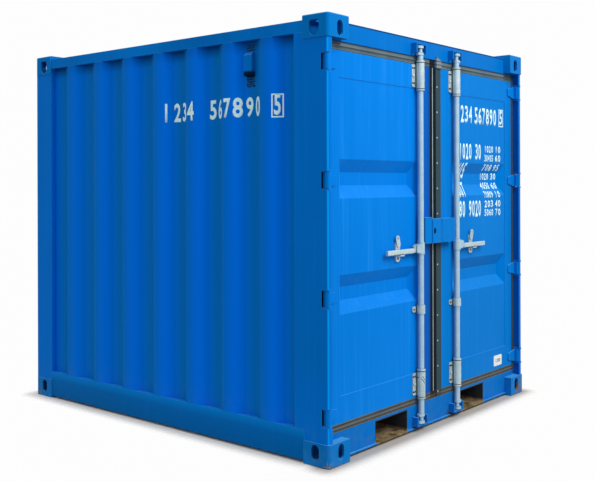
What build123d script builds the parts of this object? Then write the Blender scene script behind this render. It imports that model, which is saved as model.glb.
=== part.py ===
from build123d import *
import os

os.makedirs("parts", exist_ok=True)

# Shipping container, eight-foot size, millimetres.
# X runs across the doors, Y along the length with the doors at -Y, Z up.
# The origin is the middle of the ground rectangle under the corner castings.

# Envelope over the corner castings
width = 2200.0
length = 2438.0
height = 2260.0

# Corner castings
casting_x = 178.0
casting_y = 162.0
casting_z = 118.0
casting_wall = 12.0
casting_cap = 28.5
casting_edge_radius = 20.0
casting_rim = 5.0
aperture_long = 124.0
aperture_wide = 63.5
hole_high = 79.5
end_hole_wide = 51.0
shield_hole_wide = 63.5
shield_corner = 14.0
hole_from_side = 101.5
hole_from_end = 89.0

# Plate and sheet
inset = 6.0
plate = 6.0
sheet = 2.0
rail_wall = 4.0

# Side walls: vertical corrugations
crest_flat = 72.0
slope_run = 67.0
valley_flat = 70.0
corrugation_depth = 36.0
bend_radius = 28.0
side_shift = 14.0
end_flat_least = 20.0

# Rails and base
bottom_rail_low = 15.0
floor_top = 170.0
floor_thick = 28.0
bottom_rail_flange = 48.0
top_rail_size = 60.0
roof_drop = 24.0
roof_rise = 14.0
roof_crest_flat = 60.0
roof_slope_run = 20.0
roof_valley_flat = 105.0
roof_crests = 9
roof_overlap = 26.0
roof_rib_margin = 130.0

# Door end, distances are measured back from the front face of the castings
recess = 50.0
jamb_back = 58.0
jamb_depth = 125.0
door_post_depth = 221.0
post_flange = 34.0
post_bend = 16.0
jamb_inset = 57.0
jamb_low = 181.0
header_high = 161.0
step_low = 148.0
header_step_high = 122.0
sill_low = 13.0
sill_lip = 12.0

# Rear posts
rear_post_end = 114.0
rear_post_lip = 44.0
end_rail_depth = 60.0
rear_sill_top = 148.0

# Fork pockets
pocket_centre = 457.0
pocket_wide = 314.0
pocket_high = 112.0
pocket_strap = 200.0

# Cross members
member_high = 122.0
member_flange = 45.0
member_wall = 4.0
member_rows = 6
member_margin = 30.0

# Doors
split_x = 26.0
steel_from_split = 64.0
leaf_gap = 9.0
leaf_thick = 50.0
tube_wall = 3.2
hinge_stile = 88.0
lock_stile = 100.0
leaf_rail = 137.0
panel_inset = 3.0
swage_high = 206.0
swage_slope = 67.0
swage_end = 54.0
swage_depth = 36.0
swage_centres = (842.0, 1435.0)
swage_margin = 36.0

# Door gasket
lip_reach = 43.0
lip_hinge_reach = 32.0
lip_thick = 7.0
lip_tie = 3.0
lip_step_gap = 3.0
left_centre_lip = 56.0
right_centre_flap = 57.0
centre_flap_thick = 25.0
corner_rise = 27.0
corner_run = 62.0
corner_thick = 6.0
corner_gap = 0.5

# Hinges
pin_inset = 22.0
pin_back = 20.0
pin_radius = 6.0
pin_clearance = 0.05
knuckle_radius = 14.0
hinge_count = 4
low_hinge_rise = 56.0
high_hinge_drop = 72.0
notch_high = 90.0
notch_back = 49.0
blade_high = 78.0
blade_tip_high = 42.0
blade_thick = 8.0
blade_reach = 105.0
blade_neck = 20.0
lug_thick = 12.0
lug_gap = 1.0
lug_inset = 2.0

# Lock rods
rod_from_split = 210.0
rod_back = 25.0
rod_radius = 17.0
cam_low = 44.0
cam_drop = 66.0
cam_tall = 54.0
collar_radius = 22.0
collar_high = 12.0
collar_gap = 2.0
cam_neck = 12.0
cam_disc = 19.0
cam_lobe = 30.0
cam_lobe_thick = 14.0
cam_lobe_half = 14.0
cam_lobe_corner = 7.0
keeper_gap = 45.0
keeper_cheek = 12.0
keeper_front = 14.0
keeper_tall = 46.0
keeper_shelf = 8.0
keeper_clearance = 6.0

# Rod guides
guide_radius = 23.5
guide_clearance = 1.0
guide_base_thick = 5.0
guide_reach = 58.0
guide_corner = 12.0
top_guide_high = 145.0
top_guide_drop = -6.0
bottom_guide_high = 142.0
bottom_guide_rise = 6.0
middle_guide = (668.0, 716.0)
guide_plate_margin = 8.0

# Handles
hub_level = 1040.0
hub_high = 66.0
hub_radius = 22.0
hub_reach = 60.0
hub_cheek_margin = 8.0
hub_corner = 14.0
pivot_reach = 44.0
pivot_radius = 5.0
cheek_thick = 6.0
cheek_gap = 14.0
handle_level = 1030.0
handle_high = 28.0
handle_thick = 14.0
handle_reach = 352.0
root_thick = 12.0
grip_rounding = 6.0
root_high = 38.0
step_beyond_hub = 20.0

# Handle seats and catches
seat_reach = 212.0
seat_wide = 44.0
seat_low = 975.0
seat_high = 1092.0
seat_base = 6.0
seat_corner = 20.0
seat_eye_radius = 8.0
seat_eye_rise = 20.0
ledge_front = 14.0
ledge_thick = 7.0
ledge_gap = 1.0
catch_level = 1074.0
catch_pin_radius = 4.0
catch_thick = 5.0
catch_gap = 1.0
catch_wide = 34.0
catch_long = 66.0
catch_lean = 16.0
catch_eye_radius = 6.0
catch_clearance = 0.1

# Padlock box
box_low = 1064.0
box_high = 1204.0
box_front = 6.0
box_wall = 5.0
box_left_reach = 180.0
box_right_reach = 153.0
box_seam = 24.0
box_gap = 3.0
box_step_x = -77.0
box_step = 6.0
box_rise = 10.0
box_hole_x = -54.0
box_hole_z = 1134.0
box_hole_wide = 26.0
box_hole_high = 38.0

# Ventilator hoods
vent_drop = 148.0
vent_tall = 124.0
vent_wide = 54.0
vent_deep = 28.0
vent_wall = 3.0
vent_crests = 1

# Derived places
roof_base = height - roof_drop
jamb_high = height - header_high
step_high = height - header_step_high
cam_high = height - cam_drop
vent_high = height - vent_drop
vent_low = vent_high - vent_tall
wall_pitch = crest_flat + valley_flat + 2 * slope_run
front = -length / 2
rear = length / 2
side_face = width / 2 - inset
side_inner = side_face - plate
casting_inner_x = width / 2 - casting_x
casting_inner_y = length / 2 - casting_y
casting_top = casting_z
casting_under = height - casting_z
door_face = front + recess
panel_face = door_face + panel_inset
door_post_rear = front + door_post_depth
pin_x = width / 2 - pin_inset
pin_y = front + pin_back
jamb_x = side_face - jamb_inset
leaf_x = jamb_x - leaf_gap
leaf_low = jamb_low + leaf_gap
leaf_high = jamb_high - leaf_gap
leaf_back = door_face + leaf_thick
first_hinge = leaf_low + low_hinge_rise
hinge_pitch = (leaf_high - high_hinge_drop - first_hinge) / (hinge_count - 1)
hinge_heights = [first_hinge + index * hinge_pitch for index in range(hinge_count)]
top_guide = (leaf_high - top_guide_drop - top_guide_high, leaf_high - top_guide_drop)
bottom_guide = (leaf_low + bottom_guide_rise, leaf_low + bottom_guide_rise + bottom_guide_high)
rod_y = front + rod_back
rear_face = rear - inset
rear_post_x = side_face - rear_post_end
rear_post_y = casting_inner_y
pocket_low = sill_low + plate
pocket_top = pocket_low + pocket_high
valley_face = side_face - corrugation_depth


def block(x0, x1, y0, y1, z0, z1):
    """Rectangular solid between two corners."""
    solid = Box(abs(x1 - x0), abs(y1 - y0), abs(z1 - z0))
    return Pos((x0 + x1) / 2, (y0 + y1) / 2, (z0 + z1) / 2) * solid


def prism(points, axis, start, end):
    """Solid of one outline, drawn across an axis and pulled along it."""
    if axis == "x":
        places = [(start, a, b) for a, b in points]
        direction = (1, 0, 0)
    elif axis == "y":
        places = [(a, start, b) for a, b in points]
        direction = (0, 1, 0)
    else:
        places = [(a, b, start) for a, b in points]
        direction = (0, 0, 1)
    face = make_face(Polyline(*places, close=True))
    return extrude(face, amount=end - start, dir=direction)


def rod_along_z(x, y, radius, z0, z1):
    """Upright round bar."""
    return Pos(x, y, (z0 + z1) / 2) * Cylinder(radius, z1 - z0)


def rod_along_y(x, z, radius, y0, y1):
    """Round bar that runs from the front to the back."""
    return Pos(x, (y0 + y1) / 2, z) * Rot(90, 0, 0) * Cylinder(radius, abs(y1 - y0))


def both_ways(shape, about=Plane.YZ):
    """Mirror image of a shape in a plane through the middle."""
    return mirror(shape, about=about)


def save(shape, node):
    """Write one named piece."""
    export_step(shape, "parts/" + node + ".step")


# Corner castings


def slot_cut(wide, high, plane):
    """Slot with round ends, upright in its plane."""
    return plane * SlotOverall(high, wide, rotation=90)


def shield_cut(wide, high, plane):
    """Hole with a flat head and a round foot, upright in its plane."""
    half = wide / 2
    foot = plane * Pos(0, half - high / 2) * Circle(half)
    head_high = high - half + shield_corner
    head = plane * Pos(0, (high - head_high) / 2) * RectangleRounded(wide, head_high, shield_corner)
    return foot + head


def casting(level):
    """Hollow corner casting at the right rear; level is 1 at the roof and -1 at the ground."""
    x0 = casting_inner_x
    x1 = width / 2
    y0 = casting_inner_y
    y1 = length / 2
    z0 = casting_under if level > 0 else 0.0
    z1 = z0 + casting_z
    body = block(x0, x1, y0, y1, z0, z1)
    corner = body.edges().filter_by(Axis.Z).sort_by(lambda e: e.center().X + e.center().Y)[-1]
    body = fillet(corner, casting_edge_radius)
    rim = body.faces().sort_by(Axis.Z)[-1 if level > 0 else 0].edges()
    shown = [e for e in rim if e.center().X > x1 - casting_edge_radius or e.center().Y > y1 - casting_edge_radius]
    body = chamfer(shown, casting_rim)
    low = z0 + (casting_wall if level > 0 else casting_cap)
    high = z1 - (casting_cap if level > 0 else casting_wall)
    body -= block(x0 + casting_wall, x1 - casting_wall, y0 + casting_wall, y1 - casting_wall, low, high)
    hole_x = width / 2 - hole_from_side
    hole_y = length / 2 - hole_from_end
    hole_z = z1 - casting_cap - hole_high / 2 if level > 0 else z0 + casting_cap + hole_high / 2
    aperture = extrude(Pos(hole_x, hole_y, z0) * SlotOverall(aperture_long, aperture_wide), casting_z)
    middle = (z0 + z1) / 2
    keep_top = block(x0, x1, y0, y1, middle, z1) if level > 0 else block(x0, x1, y0, y1, z0, middle)
    body -= aperture & keep_top
    end_plane = Plane(origin=(hole_x, y1 - casting_wall * 2, hole_z), x_dir=(1, 0, 0), z_dir=(0, -1, 0))
    end_hole = extrude(slot_cut(end_hole_wide, hole_high, end_plane), amount=casting_wall * 3, both=True)
    side_plane = Plane(origin=(x1 - casting_wall * 2, hole_y, hole_z), x_dir=(0, 1, 0), z_dir=(1, 0, 0))
    outline = shield_cut(shield_hole_wide, hole_high, side_plane)
    if level < 0:
        outline = slot_cut(end_hole_wide, hole_high, side_plane)
    side_hole = extrude(outline, amount=casting_wall * 3, both=True)
    return body - end_hole - side_hole


def write_castings():
    """Eight castings, each the mirror of the right rear one."""
    for level, level_name in ((-1, "bottom"), (1, "top")):
        right_rear = casting(level)
        left_rear = both_ways(right_rear)
        save(right_rear, "casting_rear_right_" + level_name)
        save(left_rear, "casting_rear_left_" + level_name)
        save(both_ways(right_rear, Plane.XZ), "casting_door_right_" + level_name)
        save(both_ways(left_rear, Plane.XZ), "casting_door_left_" + level_name)


# Posts


def door_post():
    """Right door post: a closed box whose outer plate runs forward beside the hinge pins."""
    outer = block(jamb_x, side_face, front + jamb_back, door_post_rear, casting_top, roof_base - top_rail_size)
    core = block(jamb_x + plate, side_inner, front + jamb_back + plate, door_post_rear - plate,
                 casting_top, roof_base - top_rail_size)
    post = outer - core
    nose = block(side_inner, side_face, front + inset, front + jamb_back + plate, casting_top, casting_under)
    nose += block(side_face - post_flange, side_face, front + inset, front + inset + plate,
                  casting_top, casting_under)
    bends = nose.edges().filter_by(Axis.Z).sort_by(lambda e: e.center().X - e.center().Y)
    nose = fillet(bends[-1], post_bend)
    inner_bend = nose.edges().filter_by(Axis.Z).filter_by(
        lambda e: abs(e.center().X - side_inner) < 1 and abs(e.center().Y - front - inset - plate) < 1)
    nose = fillet(inner_bend, post_bend - plate)
    lug_half = blade_high / 2 + lug_gap + lug_thick
    for level in hinge_heights:
        nose -= block(side_face - post_flange, side_inner, front, front + notch_back,
                      level - lug_half, level + lug_half)
    post += nose
    for level in hinge_heights:
        post -= block(side_inner - 1, side_face + 1, front, front + notch_back,
                      level - notch_high / 2, level + notch_high / 2)
    post -= block(0, width, front, -casting_inner_y, casting_under, height)
    post -= block(0, width, -casting_inner_y, 0, 0, floor_top)
    return post


def rear_post():
    """Right rear post: one pressed section with a lip on each leg."""
    low = casting_top
    high = casting_under
    post = block(side_inner, side_face, rear_post_y, rear_face, low, high)
    post += block(rear_post_x, side_face, rear_face - plate, rear_face, low, high)
    post += block(side_face - rear_post_lip, side_face, rear_post_y, rear_post_y + plate, low, high)
    post += block(rear_post_x, rear_post_x + plate, rear_face - rear_post_lip, rear_face, low, high)
    return post


# Rails


def bottom_side_rail():
    """Right bottom rail: a channel that opens inwards."""
    inner = side_face - bottom_rail_flange
    rail = block(inner, side_face, -casting_inner_y, casting_inner_y, bottom_rail_low, floor_top)
    rail -= block(inner - 1, side_face - rail_wall, -casting_inner_y, casting_inner_y,
                  bottom_rail_low + rail_wall, floor_top - rail_wall)
    return rail


def top_side_rail():
    """Right top rail: a square tube between two castings."""
    inner = side_face - top_rail_size
    rail = block(inner, side_face, -casting_inner_y, casting_inner_y, roof_base - top_rail_size, roof_base)
    return rail - block(inner + rail_wall, side_face - rail_wall, -casting_inner_y, casting_inner_y,
                        roof_base - top_rail_size + rail_wall, roof_base - rail_wall)


def jamb_section(near, far, face_out, face_in):
    """Outline of the header and sill: a box with a stepped front, as distances back and levels.

    near and far are the levels of the opening's edge and the outer edge, and
    face_out is the level of the step in front of the gasket.
    """
    y_face = front + recess
    y_jamb = front + jamb_back
    y_rear = front + jamb_depth
    return [(y_jamb, near), (y_rear, near), (y_rear, far), (y_face, far), (y_face, face_out), (y_jamb, face_in)]


def door_header():
    """Header: a stepped box over the doors, between the posts and the castings."""
    outline = jamb_section(jamb_high, roof_base, step_high, step_high)
    header = prism(outline, "x", -jamb_x, jamb_x)
    core = block(-jamb_x, jamb_x, front + jamb_back + plate, front + jamb_depth - plate,
                 jamb_high + plate, roof_base - plate)
    header -= core
    for side in (-1, 1):
        header -= block(side * casting_inner_x, side * width, front, -casting_inner_y, casting_under, height)
    return header


def door_sill():
    """Sill: a stepped box under the doors with a lip at its foot and two pocket mouths."""
    outline = jamb_section(jamb_low, sill_low, step_low, step_low)
    sill = prism(outline, "x", -jamb_x, jamb_x)
    sill += block(-casting_inner_x, casting_inner_x, door_face - sill_lip, door_face, sill_low, sill_low + plate)
    sill -= block(-jamb_x, jamb_x, door_face + plate, front + jamb_depth - plate,
                  sill_low + plate, step_low - plate)
    sill -= block(-jamb_x, jamb_x, front + jamb_back + plate, front + jamb_depth - plate,
                  sill_low + plate, jamb_low - plate)
    for side in (-1, 1):
        sill -= block(side * casting_inner_x, side * width, front, -casting_inner_y, 0, casting_top)
        sill -= pocket_cut(side)
    return sill


def rear_top_rail():
    """Tube over the rear wall."""
    rail = block(-casting_inner_x, casting_inner_x, rear_face - end_rail_depth, rear_face,
                 casting_under, roof_base)
    return rail - block(-casting_inner_x, casting_inner_x, rear_face - end_rail_depth + rail_wall,
                        rear_face - rail_wall, casting_under + rail_wall, roof_base - rail_wall)


def rear_bottom_rail():
    """Tube under the rear wall with the rear pocket mouths."""
    rail = block(-rear_post_x, rear_post_x, rear_face - end_rail_depth, rear_face, bottom_rail_low, rear_sill_top)
    rail -= block(-rear_post_x, rear_post_x, rear_face - end_rail_depth + rail_wall, rear_face - rail_wall,
                  bottom_rail_low + rail_wall, rear_sill_top - rail_wall)
    for side in (-1, 1):
        rail -= block(side * casting_inner_x, side * width, casting_inner_y, rear, 0, casting_top)
        rail -= pocket_cut(side)
    return rail


# Fork pockets


def pocket_cut(side):
    """Room that a fork pocket takes up in the end rails."""
    half = pocket_wide / 2 + plate
    middle = side * pocket_centre
    return block(middle - half, middle + half, front, rear, pocket_low, pocket_top + plate)


def fork_pocket(side):
    """One fork pocket from end to end: roof and two sides, closed below near its mouths."""
    middle = side * pocket_centre
    outer = pocket_wide / 2 + plate
    inner = pocket_wide / 2
    y0 = door_face
    y1 = rear_face
    pocket = block(middle - outer, middle + outer, y0, y1, pocket_low, pocket_top + plate)
    pocket -= block(middle - inner, middle + inner, y0, y1, pocket_low, pocket_top)
    strap_front = front + jamb_depth
    strap_rear = rear_face - end_rail_depth
    pocket += block(middle - outer, middle + outer, strap_front, strap_front + pocket_strap,
                    sill_low, pocket_low)
    pocket += block(middle - outer, middle + outer, strap_rear - pocket_strap, strap_rear,
                    sill_low, pocket_low)
    return pocket


# Floor


def cross_member(x0, x1, y):
    """Channel under the floor that opens to the rear."""
    z1 = floor_top - floor_thick
    z0 = z1 - member_high
    member = block(x0, x1, y, y + member_flange, z0, z1)
    return member - block(x0, x1, y + member_wall, y + member_flange, z0 + member_wall, z1 - member_wall)


def cross_members():
    """Rows of channels, each cut into three by the fork pockets."""
    first = -casting_inner_y + member_margin
    last = casting_inner_y - member_flange - member_margin
    pitch = (last - first) / (member_rows - 1)
    outer = side_face - rail_wall
    pocket_inner = pocket_centre - pocket_wide / 2 - plate
    pocket_outer = pocket_centre + pocket_wide / 2 + plate
    pieces = []
    for row in range(member_rows):
        y = first + row * pitch
        pieces.append(cross_member(-outer, -pocket_outer, y))
        pieces.append(cross_member(-pocket_inner, pocket_inner, y))
        pieces.append(cross_member(pocket_outer, outer, y))
    return Compound(children=pieces)


def floor_deck():
    """Plywood floor between the rails."""
    x = side_face - bottom_rail_flange
    z0 = floor_top - floor_thick
    deck = block(-x, x, front + jamb_depth, rear_face - end_rail_depth, z0, floor_top)
    for side in (-1, 1):
        deck -= block(side * jamb_x, side * width, front, door_post_rear, z0, floor_top)
    return deck


# Corrugated walls and roof


def crest_count(start, end):
    """Number of crests that a wall between two posts has room for."""
    return int((end - start - 2 * end_flat_least + valley_flat) // wall_pitch)


def wave(centre, start, end):
    """Bend points of a corrugated wall as (place, height share) pairs."""
    count = crest_count(start, end)
    points = [(start, 0.0)]
    for index in range(count):
        middle = centre + (index - (count - 1) / 2) * wall_pitch
        points.append((middle - crest_flat / 2 - slope_run, 0.0))
        points.append((middle - crest_flat / 2, 1.0))
        points.append((middle + crest_flat / 2, 1.0))
        points.append((middle + crest_flat / 2 + slope_run, 0.0))
    points.append((end, 0.0))
    return points


def ribbon(points, base, rise, thick):
    """Closed outline of a bent sheet: its outer line and the same line moved in by its thickness."""
    outer = [(place, base + rise * share) for place, share in points]
    inner = [(place, level - thick) for place, level in reversed(outer)]
    return outer + inner


def round_bends(wall, axis, start, end):
    """Round every upright bend of a sheet, but not its ends."""
    edges = wall.edges().filter_by(Axis.Z).filter_by(lambda e: start < axis(e.center()) < end)
    return fillet(edges, bend_radius)


def side_wall():
    """Right side wall: one corrugated sheet between the posts."""
    bends = wave(side_shift, door_post_rear, rear_post_y)
    outline = ribbon(bends, valley_face, corrugation_depth, sheet)
    wall = prism([(x, y) for y, x in outline], "z", floor_top, roof_base - top_rail_size)
    return round_bends(wall, lambda c: c.Y, door_post_rear + sheet, rear_post_y - sheet)


def rear_wall():
    """Rear wall: one corrugated sheet between the rear posts."""
    bends = wave(0.0, -rear_post_x, rear_post_x)
    outline = ribbon(bends, rear_face - corrugation_depth, corrugation_depth, sheet)
    wall = prism(outline, "z", rear_sill_top, casting_under)
    return round_bends(wall, lambda c: c.X, sheet - rear_post_x, rear_post_x - sheet)


def roof_rib(y, base):
    """Form of one pressed rib, which tapers as it rises and stops short of the rails."""
    long = 2 * (side_face - roof_rib_margin)
    wide = roof_crest_flat + 2 * roof_slope_run
    foot = Pos(0, y, base) * Rectangle(long, wide)
    crest = Pos(0, y, base + roof_rise) * Rectangle(long - 2 * roof_slope_run, roof_crest_flat)
    return loft([foot, crest])


def roof_sheet():
    """Roof sheet with pressed cross ribs, cut out round the castings."""
    y0 = front + recess
    y1 = rear_face
    reach = side_face - top_rail_size + roof_overlap
    roof = block(-reach, reach, y0, y1, roof_base, roof_base + sheet)
    pitch = roof_crest_flat + roof_valley_flat + 2 * roof_slope_run
    places = [(y0 + y1) / 2 + (index - (roof_crests - 1) / 2) * pitch for index in range(roof_crests)]
    for y in places:
        roof += roof_rib(y, roof_base + sheet)
    for y in places:
        roof -= roof_rib(y, roof_base)
    for side in (-1, 1):
        for end in (-1, 1):
            roof -= block(side * casting_inner_x, side * width, end * casting_inner_y, end * length,
                          casting_under, height)
    return roof


def vent_hood():
    """Right ventilator hood: a small open-bottomed box in one valley of the wall."""
    y = side_shift - (crest_count(door_post_rear, rear_post_y) / 2 - vent_crests) * wall_pitch
    x0 = valley_face
    x1 = valley_face + vent_deep
    hood = block(x0, x1, y - vent_wide / 2, y + vent_wide / 2, vent_low, vent_high)
    edge = hood.edges().filter_by(Axis.Y).sort_by(lambda e: e.center().X + e.center().Z)[-1]
    hood = chamfer(edge, vent_deep / 2)
    return hood - block(x0 - 1, x1 - vent_wall, y - vent_wide / 2 + vent_wall, y + vent_wide / 2 - vent_wall,
                        vent_low - 1, vent_high - vent_deep / 2 - vent_wall)


# Hinge seats on the posts


def hinge_lug_pair(side, level):
    """Two lugs and the pin that they hold, in the recess of a door post."""
    half = blade_high / 2 + lug_gap
    x = side * pin_x
    x0 = side * (pin_x - knuckle_radius + lug_inset)
    x1 = side * side_inner
    y0 = pin_y - knuckle_radius
    y1 = front + jamb_back
    lugs = rod_along_z(x, pin_y, pin_radius, level - half - lug_thick, level + half + lug_thick)
    for way in (-1, 1):
        z0 = level + way * half
        z1 = level + way * (half + lug_thick)
        lugs += block(x0, x1, y0, y1, z0, z1)
    return lugs


def hinge_lugs(side):
    """Lugs of one post."""
    return Compound(children=[hinge_lug_pair(side, level) for level in hinge_heights])


# Cam keepers


def keeper(side, shelf, cheek_end):
    """Keeper on the header or sill: a shelf past the cam's end and a cheek on either side of it."""
    x = rod_x(side)
    reach = keeper_gap + keeper_cheek
    away = 1 if shelf > cheek_end else -1
    y0 = front + keeper_front
    body = block(x - reach, x + reach, y0, door_face, shelf, shelf + away * keeper_shelf)
    for way in (-1, 1):
        body += block(x + way * keeper_gap, x + way * reach, y0, door_face, shelf, cheek_end)
    return body


def cam_keepers():
    """Four keepers, over and under both lock rods."""
    top = cam_high + keeper_clearance
    low = cam_low - keeper_clearance
    pieces = []
    for side in (-1, 1):
        pieces.append(keeper(side, top, top - keeper_tall))
        pieces.append(keeper(side, low, low + keeper_tall))
    return Compound(children=pieces)


# Door leaves


def leaf_edges(side):
    """Hinge edge and free edge of one leaf's steel."""
    return side * leaf_x, split_x + side * steel_from_split


def leaf_frame(side):
    """Leaf frame: a ring of tube with a window for the panel."""
    hinge, free = leaf_edges(side)
    frame = block(hinge, free, door_face, leaf_back, leaf_low, leaf_high)
    frame -= block(hinge - side * tube_wall, free + side * tube_wall, door_face + tube_wall,
                   leaf_back - tube_wall, leaf_low + tube_wall, leaf_high - tube_wall)
    window = window_edges(side)
    rim = block(window[0] + side * tube_wall, window[1] - side * tube_wall, door_face, leaf_back,
                window[2] - tube_wall, window[3] + tube_wall)
    frame += rim
    frame -= block(window[0], window[1], door_face, leaf_back, window[2], window[3])
    return frame


def window_edges(side):
    """Window of a leaf: hinge-side edge, free-side edge, foot and head."""
    hinge, free = leaf_edges(side)
    return hinge - side * hinge_stile, free + side * lock_stile, leaf_low + leaf_rail, leaf_high - leaf_rail


def frustum(x0, x1, z0, z1, y0, y1, run_x, run_z):
    """Tapered hollow of a swage: a rectangle that draws in as it goes deeper."""
    middle_x = (x0 + x1) / 2
    middle_z = (z0 + z1) / 2
    wide = abs(x1 - x0)
    high = abs(z1 - z0)
    near = Plane(origin=(middle_x, y0, middle_z), x_dir=(1, 0, 0), z_dir=(0, 1, 0))
    far = Plane(origin=(middle_x, y1, middle_z), x_dir=(1, 0, 0), z_dir=(0, 1, 0))
    return loft([near * Rectangle(wide, high), far * Rectangle(wide - 2 * run_x, high - 2 * run_z)])


def leaf_panel(side):
    """Leaf panel: a flat sheet with two pressed swages."""
    window = window_edges(side)
    face = door_face + panel_inset
    panel = block(window[0], window[1], face, face + sheet, window[2], window[3])
    x0 = window[0]
    x1 = window[1] + side * swage_margin
    for centre in swage_centres:
        z0 = centre - swage_high / 2
        z1 = centre + swage_high / 2
        panel += frustum(x0, x1, z0, z1, face + sheet, face + sheet + swage_depth, swage_end, swage_slope)
    for centre in swage_centres:
        z0 = centre - swage_high / 2
        z1 = centre + swage_high / 2
        panel -= frustum(x0 - side * sheet, x1 + side * sheet, z0 + sheet, z1 - sheet, face,
                         face + swage_depth, swage_end, swage_slope)
    return panel


def leaf_gasket(side):
    """Rubber round a leaf: lips that lie over the jambs, and the strip at the meeting edge."""
    hinge, free = leaf_edges(side)
    y0 = door_face
    y1 = door_face + lip_thick
    outer = hinge + side * lip_hinge_reach
    low = leaf_low - lip_reach + lip_step_gap
    high = leaf_high + lip_reach
    centre = free - side * (left_centre_lip if side < 0 else right_centre_flap)
    gasket = block(outer, centre, y0, y1, low, high)
    gasket -= block(hinge, centre if side < 0 else free, y0, y1, leaf_low, leaf_high)
    strip_back = leaf_back - lip_thick if side < 0 else y0 + centre_flap_thick
    gasket += block(free, centre, y1 - lip_tie, strip_back, leaf_low - lip_tie, leaf_high + lip_tie)
    if side > 0:
        end = centre + corner_run
        flap = [(centre, leaf_high), (centre, high + corner_rise), (end, high), (end, leaf_high)]
        gasket += prism(flap, "y", y0 - corner_gap - corner_thick, y0 - corner_gap)
        gasket += block(centre, end, y0 - corner_gap, y0, leaf_high, high)
    return gasket


def hinge_blade(side, level):
    """Hinge blade: knuckle on the pin, neck to the door face and a blade that tapers to its tip."""
    x = side * pin_x
    half = blade_high / 2
    tip = blade_tip_high / 2
    neck = x - side * blade_neck
    end = x - side * blade_reach
    y_face = door_face
    blade = block(x, neck, pin_y, y_face, level - half, level + half)
    blade += rod_along_z(x, pin_y, knuckle_radius, level - half, level + half)
    outline = [(x, level - half), (neck, level - half), (end, level - tip),
               (end, level + tip), (neck, level + half), (x, level + half)]
    blade += prism(outline, "y", y_face - blade_thick, y_face)
    return blade - rod_along_z(x, pin_y, pin_radius + pin_clearance, level - half, level + half)


def leaf_hinges(side):
    """Hinge blades of one leaf."""
    return Compound(children=[hinge_blade(side, level) for level in hinge_heights])


# Lock gear


def rod_x(side):
    """Lock rod's place across the doors."""
    return split_x + side * rod_from_split


def rod_guide(side, z0, z1):
    """Guide for a lock rod: a sleeve and the plate that fixes it to the leaf."""
    x = rod_x(side)
    sleeve = rod_along_z(x, rod_y, guide_radius, z0, z1)
    flange = block(x - guide_reach, x + guide_reach, door_face - guide_base_thick, door_face,
                   z0 + guide_plate_margin, z1 - guide_plate_margin)
    flange = fillet(flange.edges().filter_by(Axis.Y), guide_corner)
    return sleeve + flange - rod_along_z(x, rod_y, rod_radius + guide_clearance, z0, z1)


def handle_seat(side):
    """Seat for a handle: a plate on the leaf, a ledge under the handle and a rivet for the catch."""
    x = rod_x(side) + side * seat_reach
    half = seat_wide / 2
    base = block(x - half, x + half, door_face - seat_base, panel_face, seat_low, seat_high)
    ends = base.edges().filter_by(Axis.Y)
    base = fillet(ends, seat_corner)
    base -= rod_along_y(x, seat_low + seat_eye_rise, seat_eye_radius, door_face - seat_base, panel_face)
    ledge_top = handle_level - handle_high / 2 - ledge_gap
    base += block(x - half, x + half, front + ledge_front, door_face, ledge_top - ledge_thick, ledge_top)
    base += rod_along_y(x, catch_level, catch_pin_radius,
                        door_face - seat_base - 2 * catch_gap - catch_thick, door_face)
    return base


def lock_brackets(side):
    """Guides and handle seat of one leaf."""
    pieces = [rod_guide(side, z0, z1) for z0, z1 in (top_guide, bottom_guide, middle_guide)]
    pieces.append(handle_seat(side))
    return Compound(children=pieces)


def catch(side):
    """Catch over a handle seat: a flat link with an eye, raised and leaning away from the rod."""
    x = rod_x(side) + side * seat_reach
    y1 = door_face - seat_base - catch_gap
    y0 = y1 - catch_thick
    link = Plane.XZ * SlotCenterToCenter(catch_long - catch_wide, catch_wide, rotation=90)
    flat = extrude(Pos(0, 0, (catch_long - catch_wide) / 2) * link, amount=catch_thick / 2, both=True)
    flat -= rod_along_y(0, 0, catch_pin_radius + catch_clearance, -catch_thick, catch_thick)
    flat -= rod_along_y(0, catch_long - catch_wide, catch_eye_radius, -catch_thick, catch_thick)
    return Pos(x, (y0 + y1) / 2, catch_level) * Rot(0, side * catch_lean, 0) * flat


def cam(side, z0, z1):
    """Cam on a rod end: a round core with two lobes that point towards the hinge side."""
    x = rod_x(side)
    body = rod_along_z(x, rod_y, cam_neck, z0, z1)
    for low in (z0, z1 - cam_lobe_thick):
        body += rod_along_z(x, rod_y, cam_disc, low, low + cam_lobe_thick)
        lobe = block(x, x + side * cam_lobe, rod_y - cam_lobe_half, rod_y + cam_lobe_half,
                     low, low + cam_lobe_thick)
        lobe = chamfer(lobe.edges().filter_by(Axis.Z), cam_lobe_corner)
        body += lobe
    return body


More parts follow.
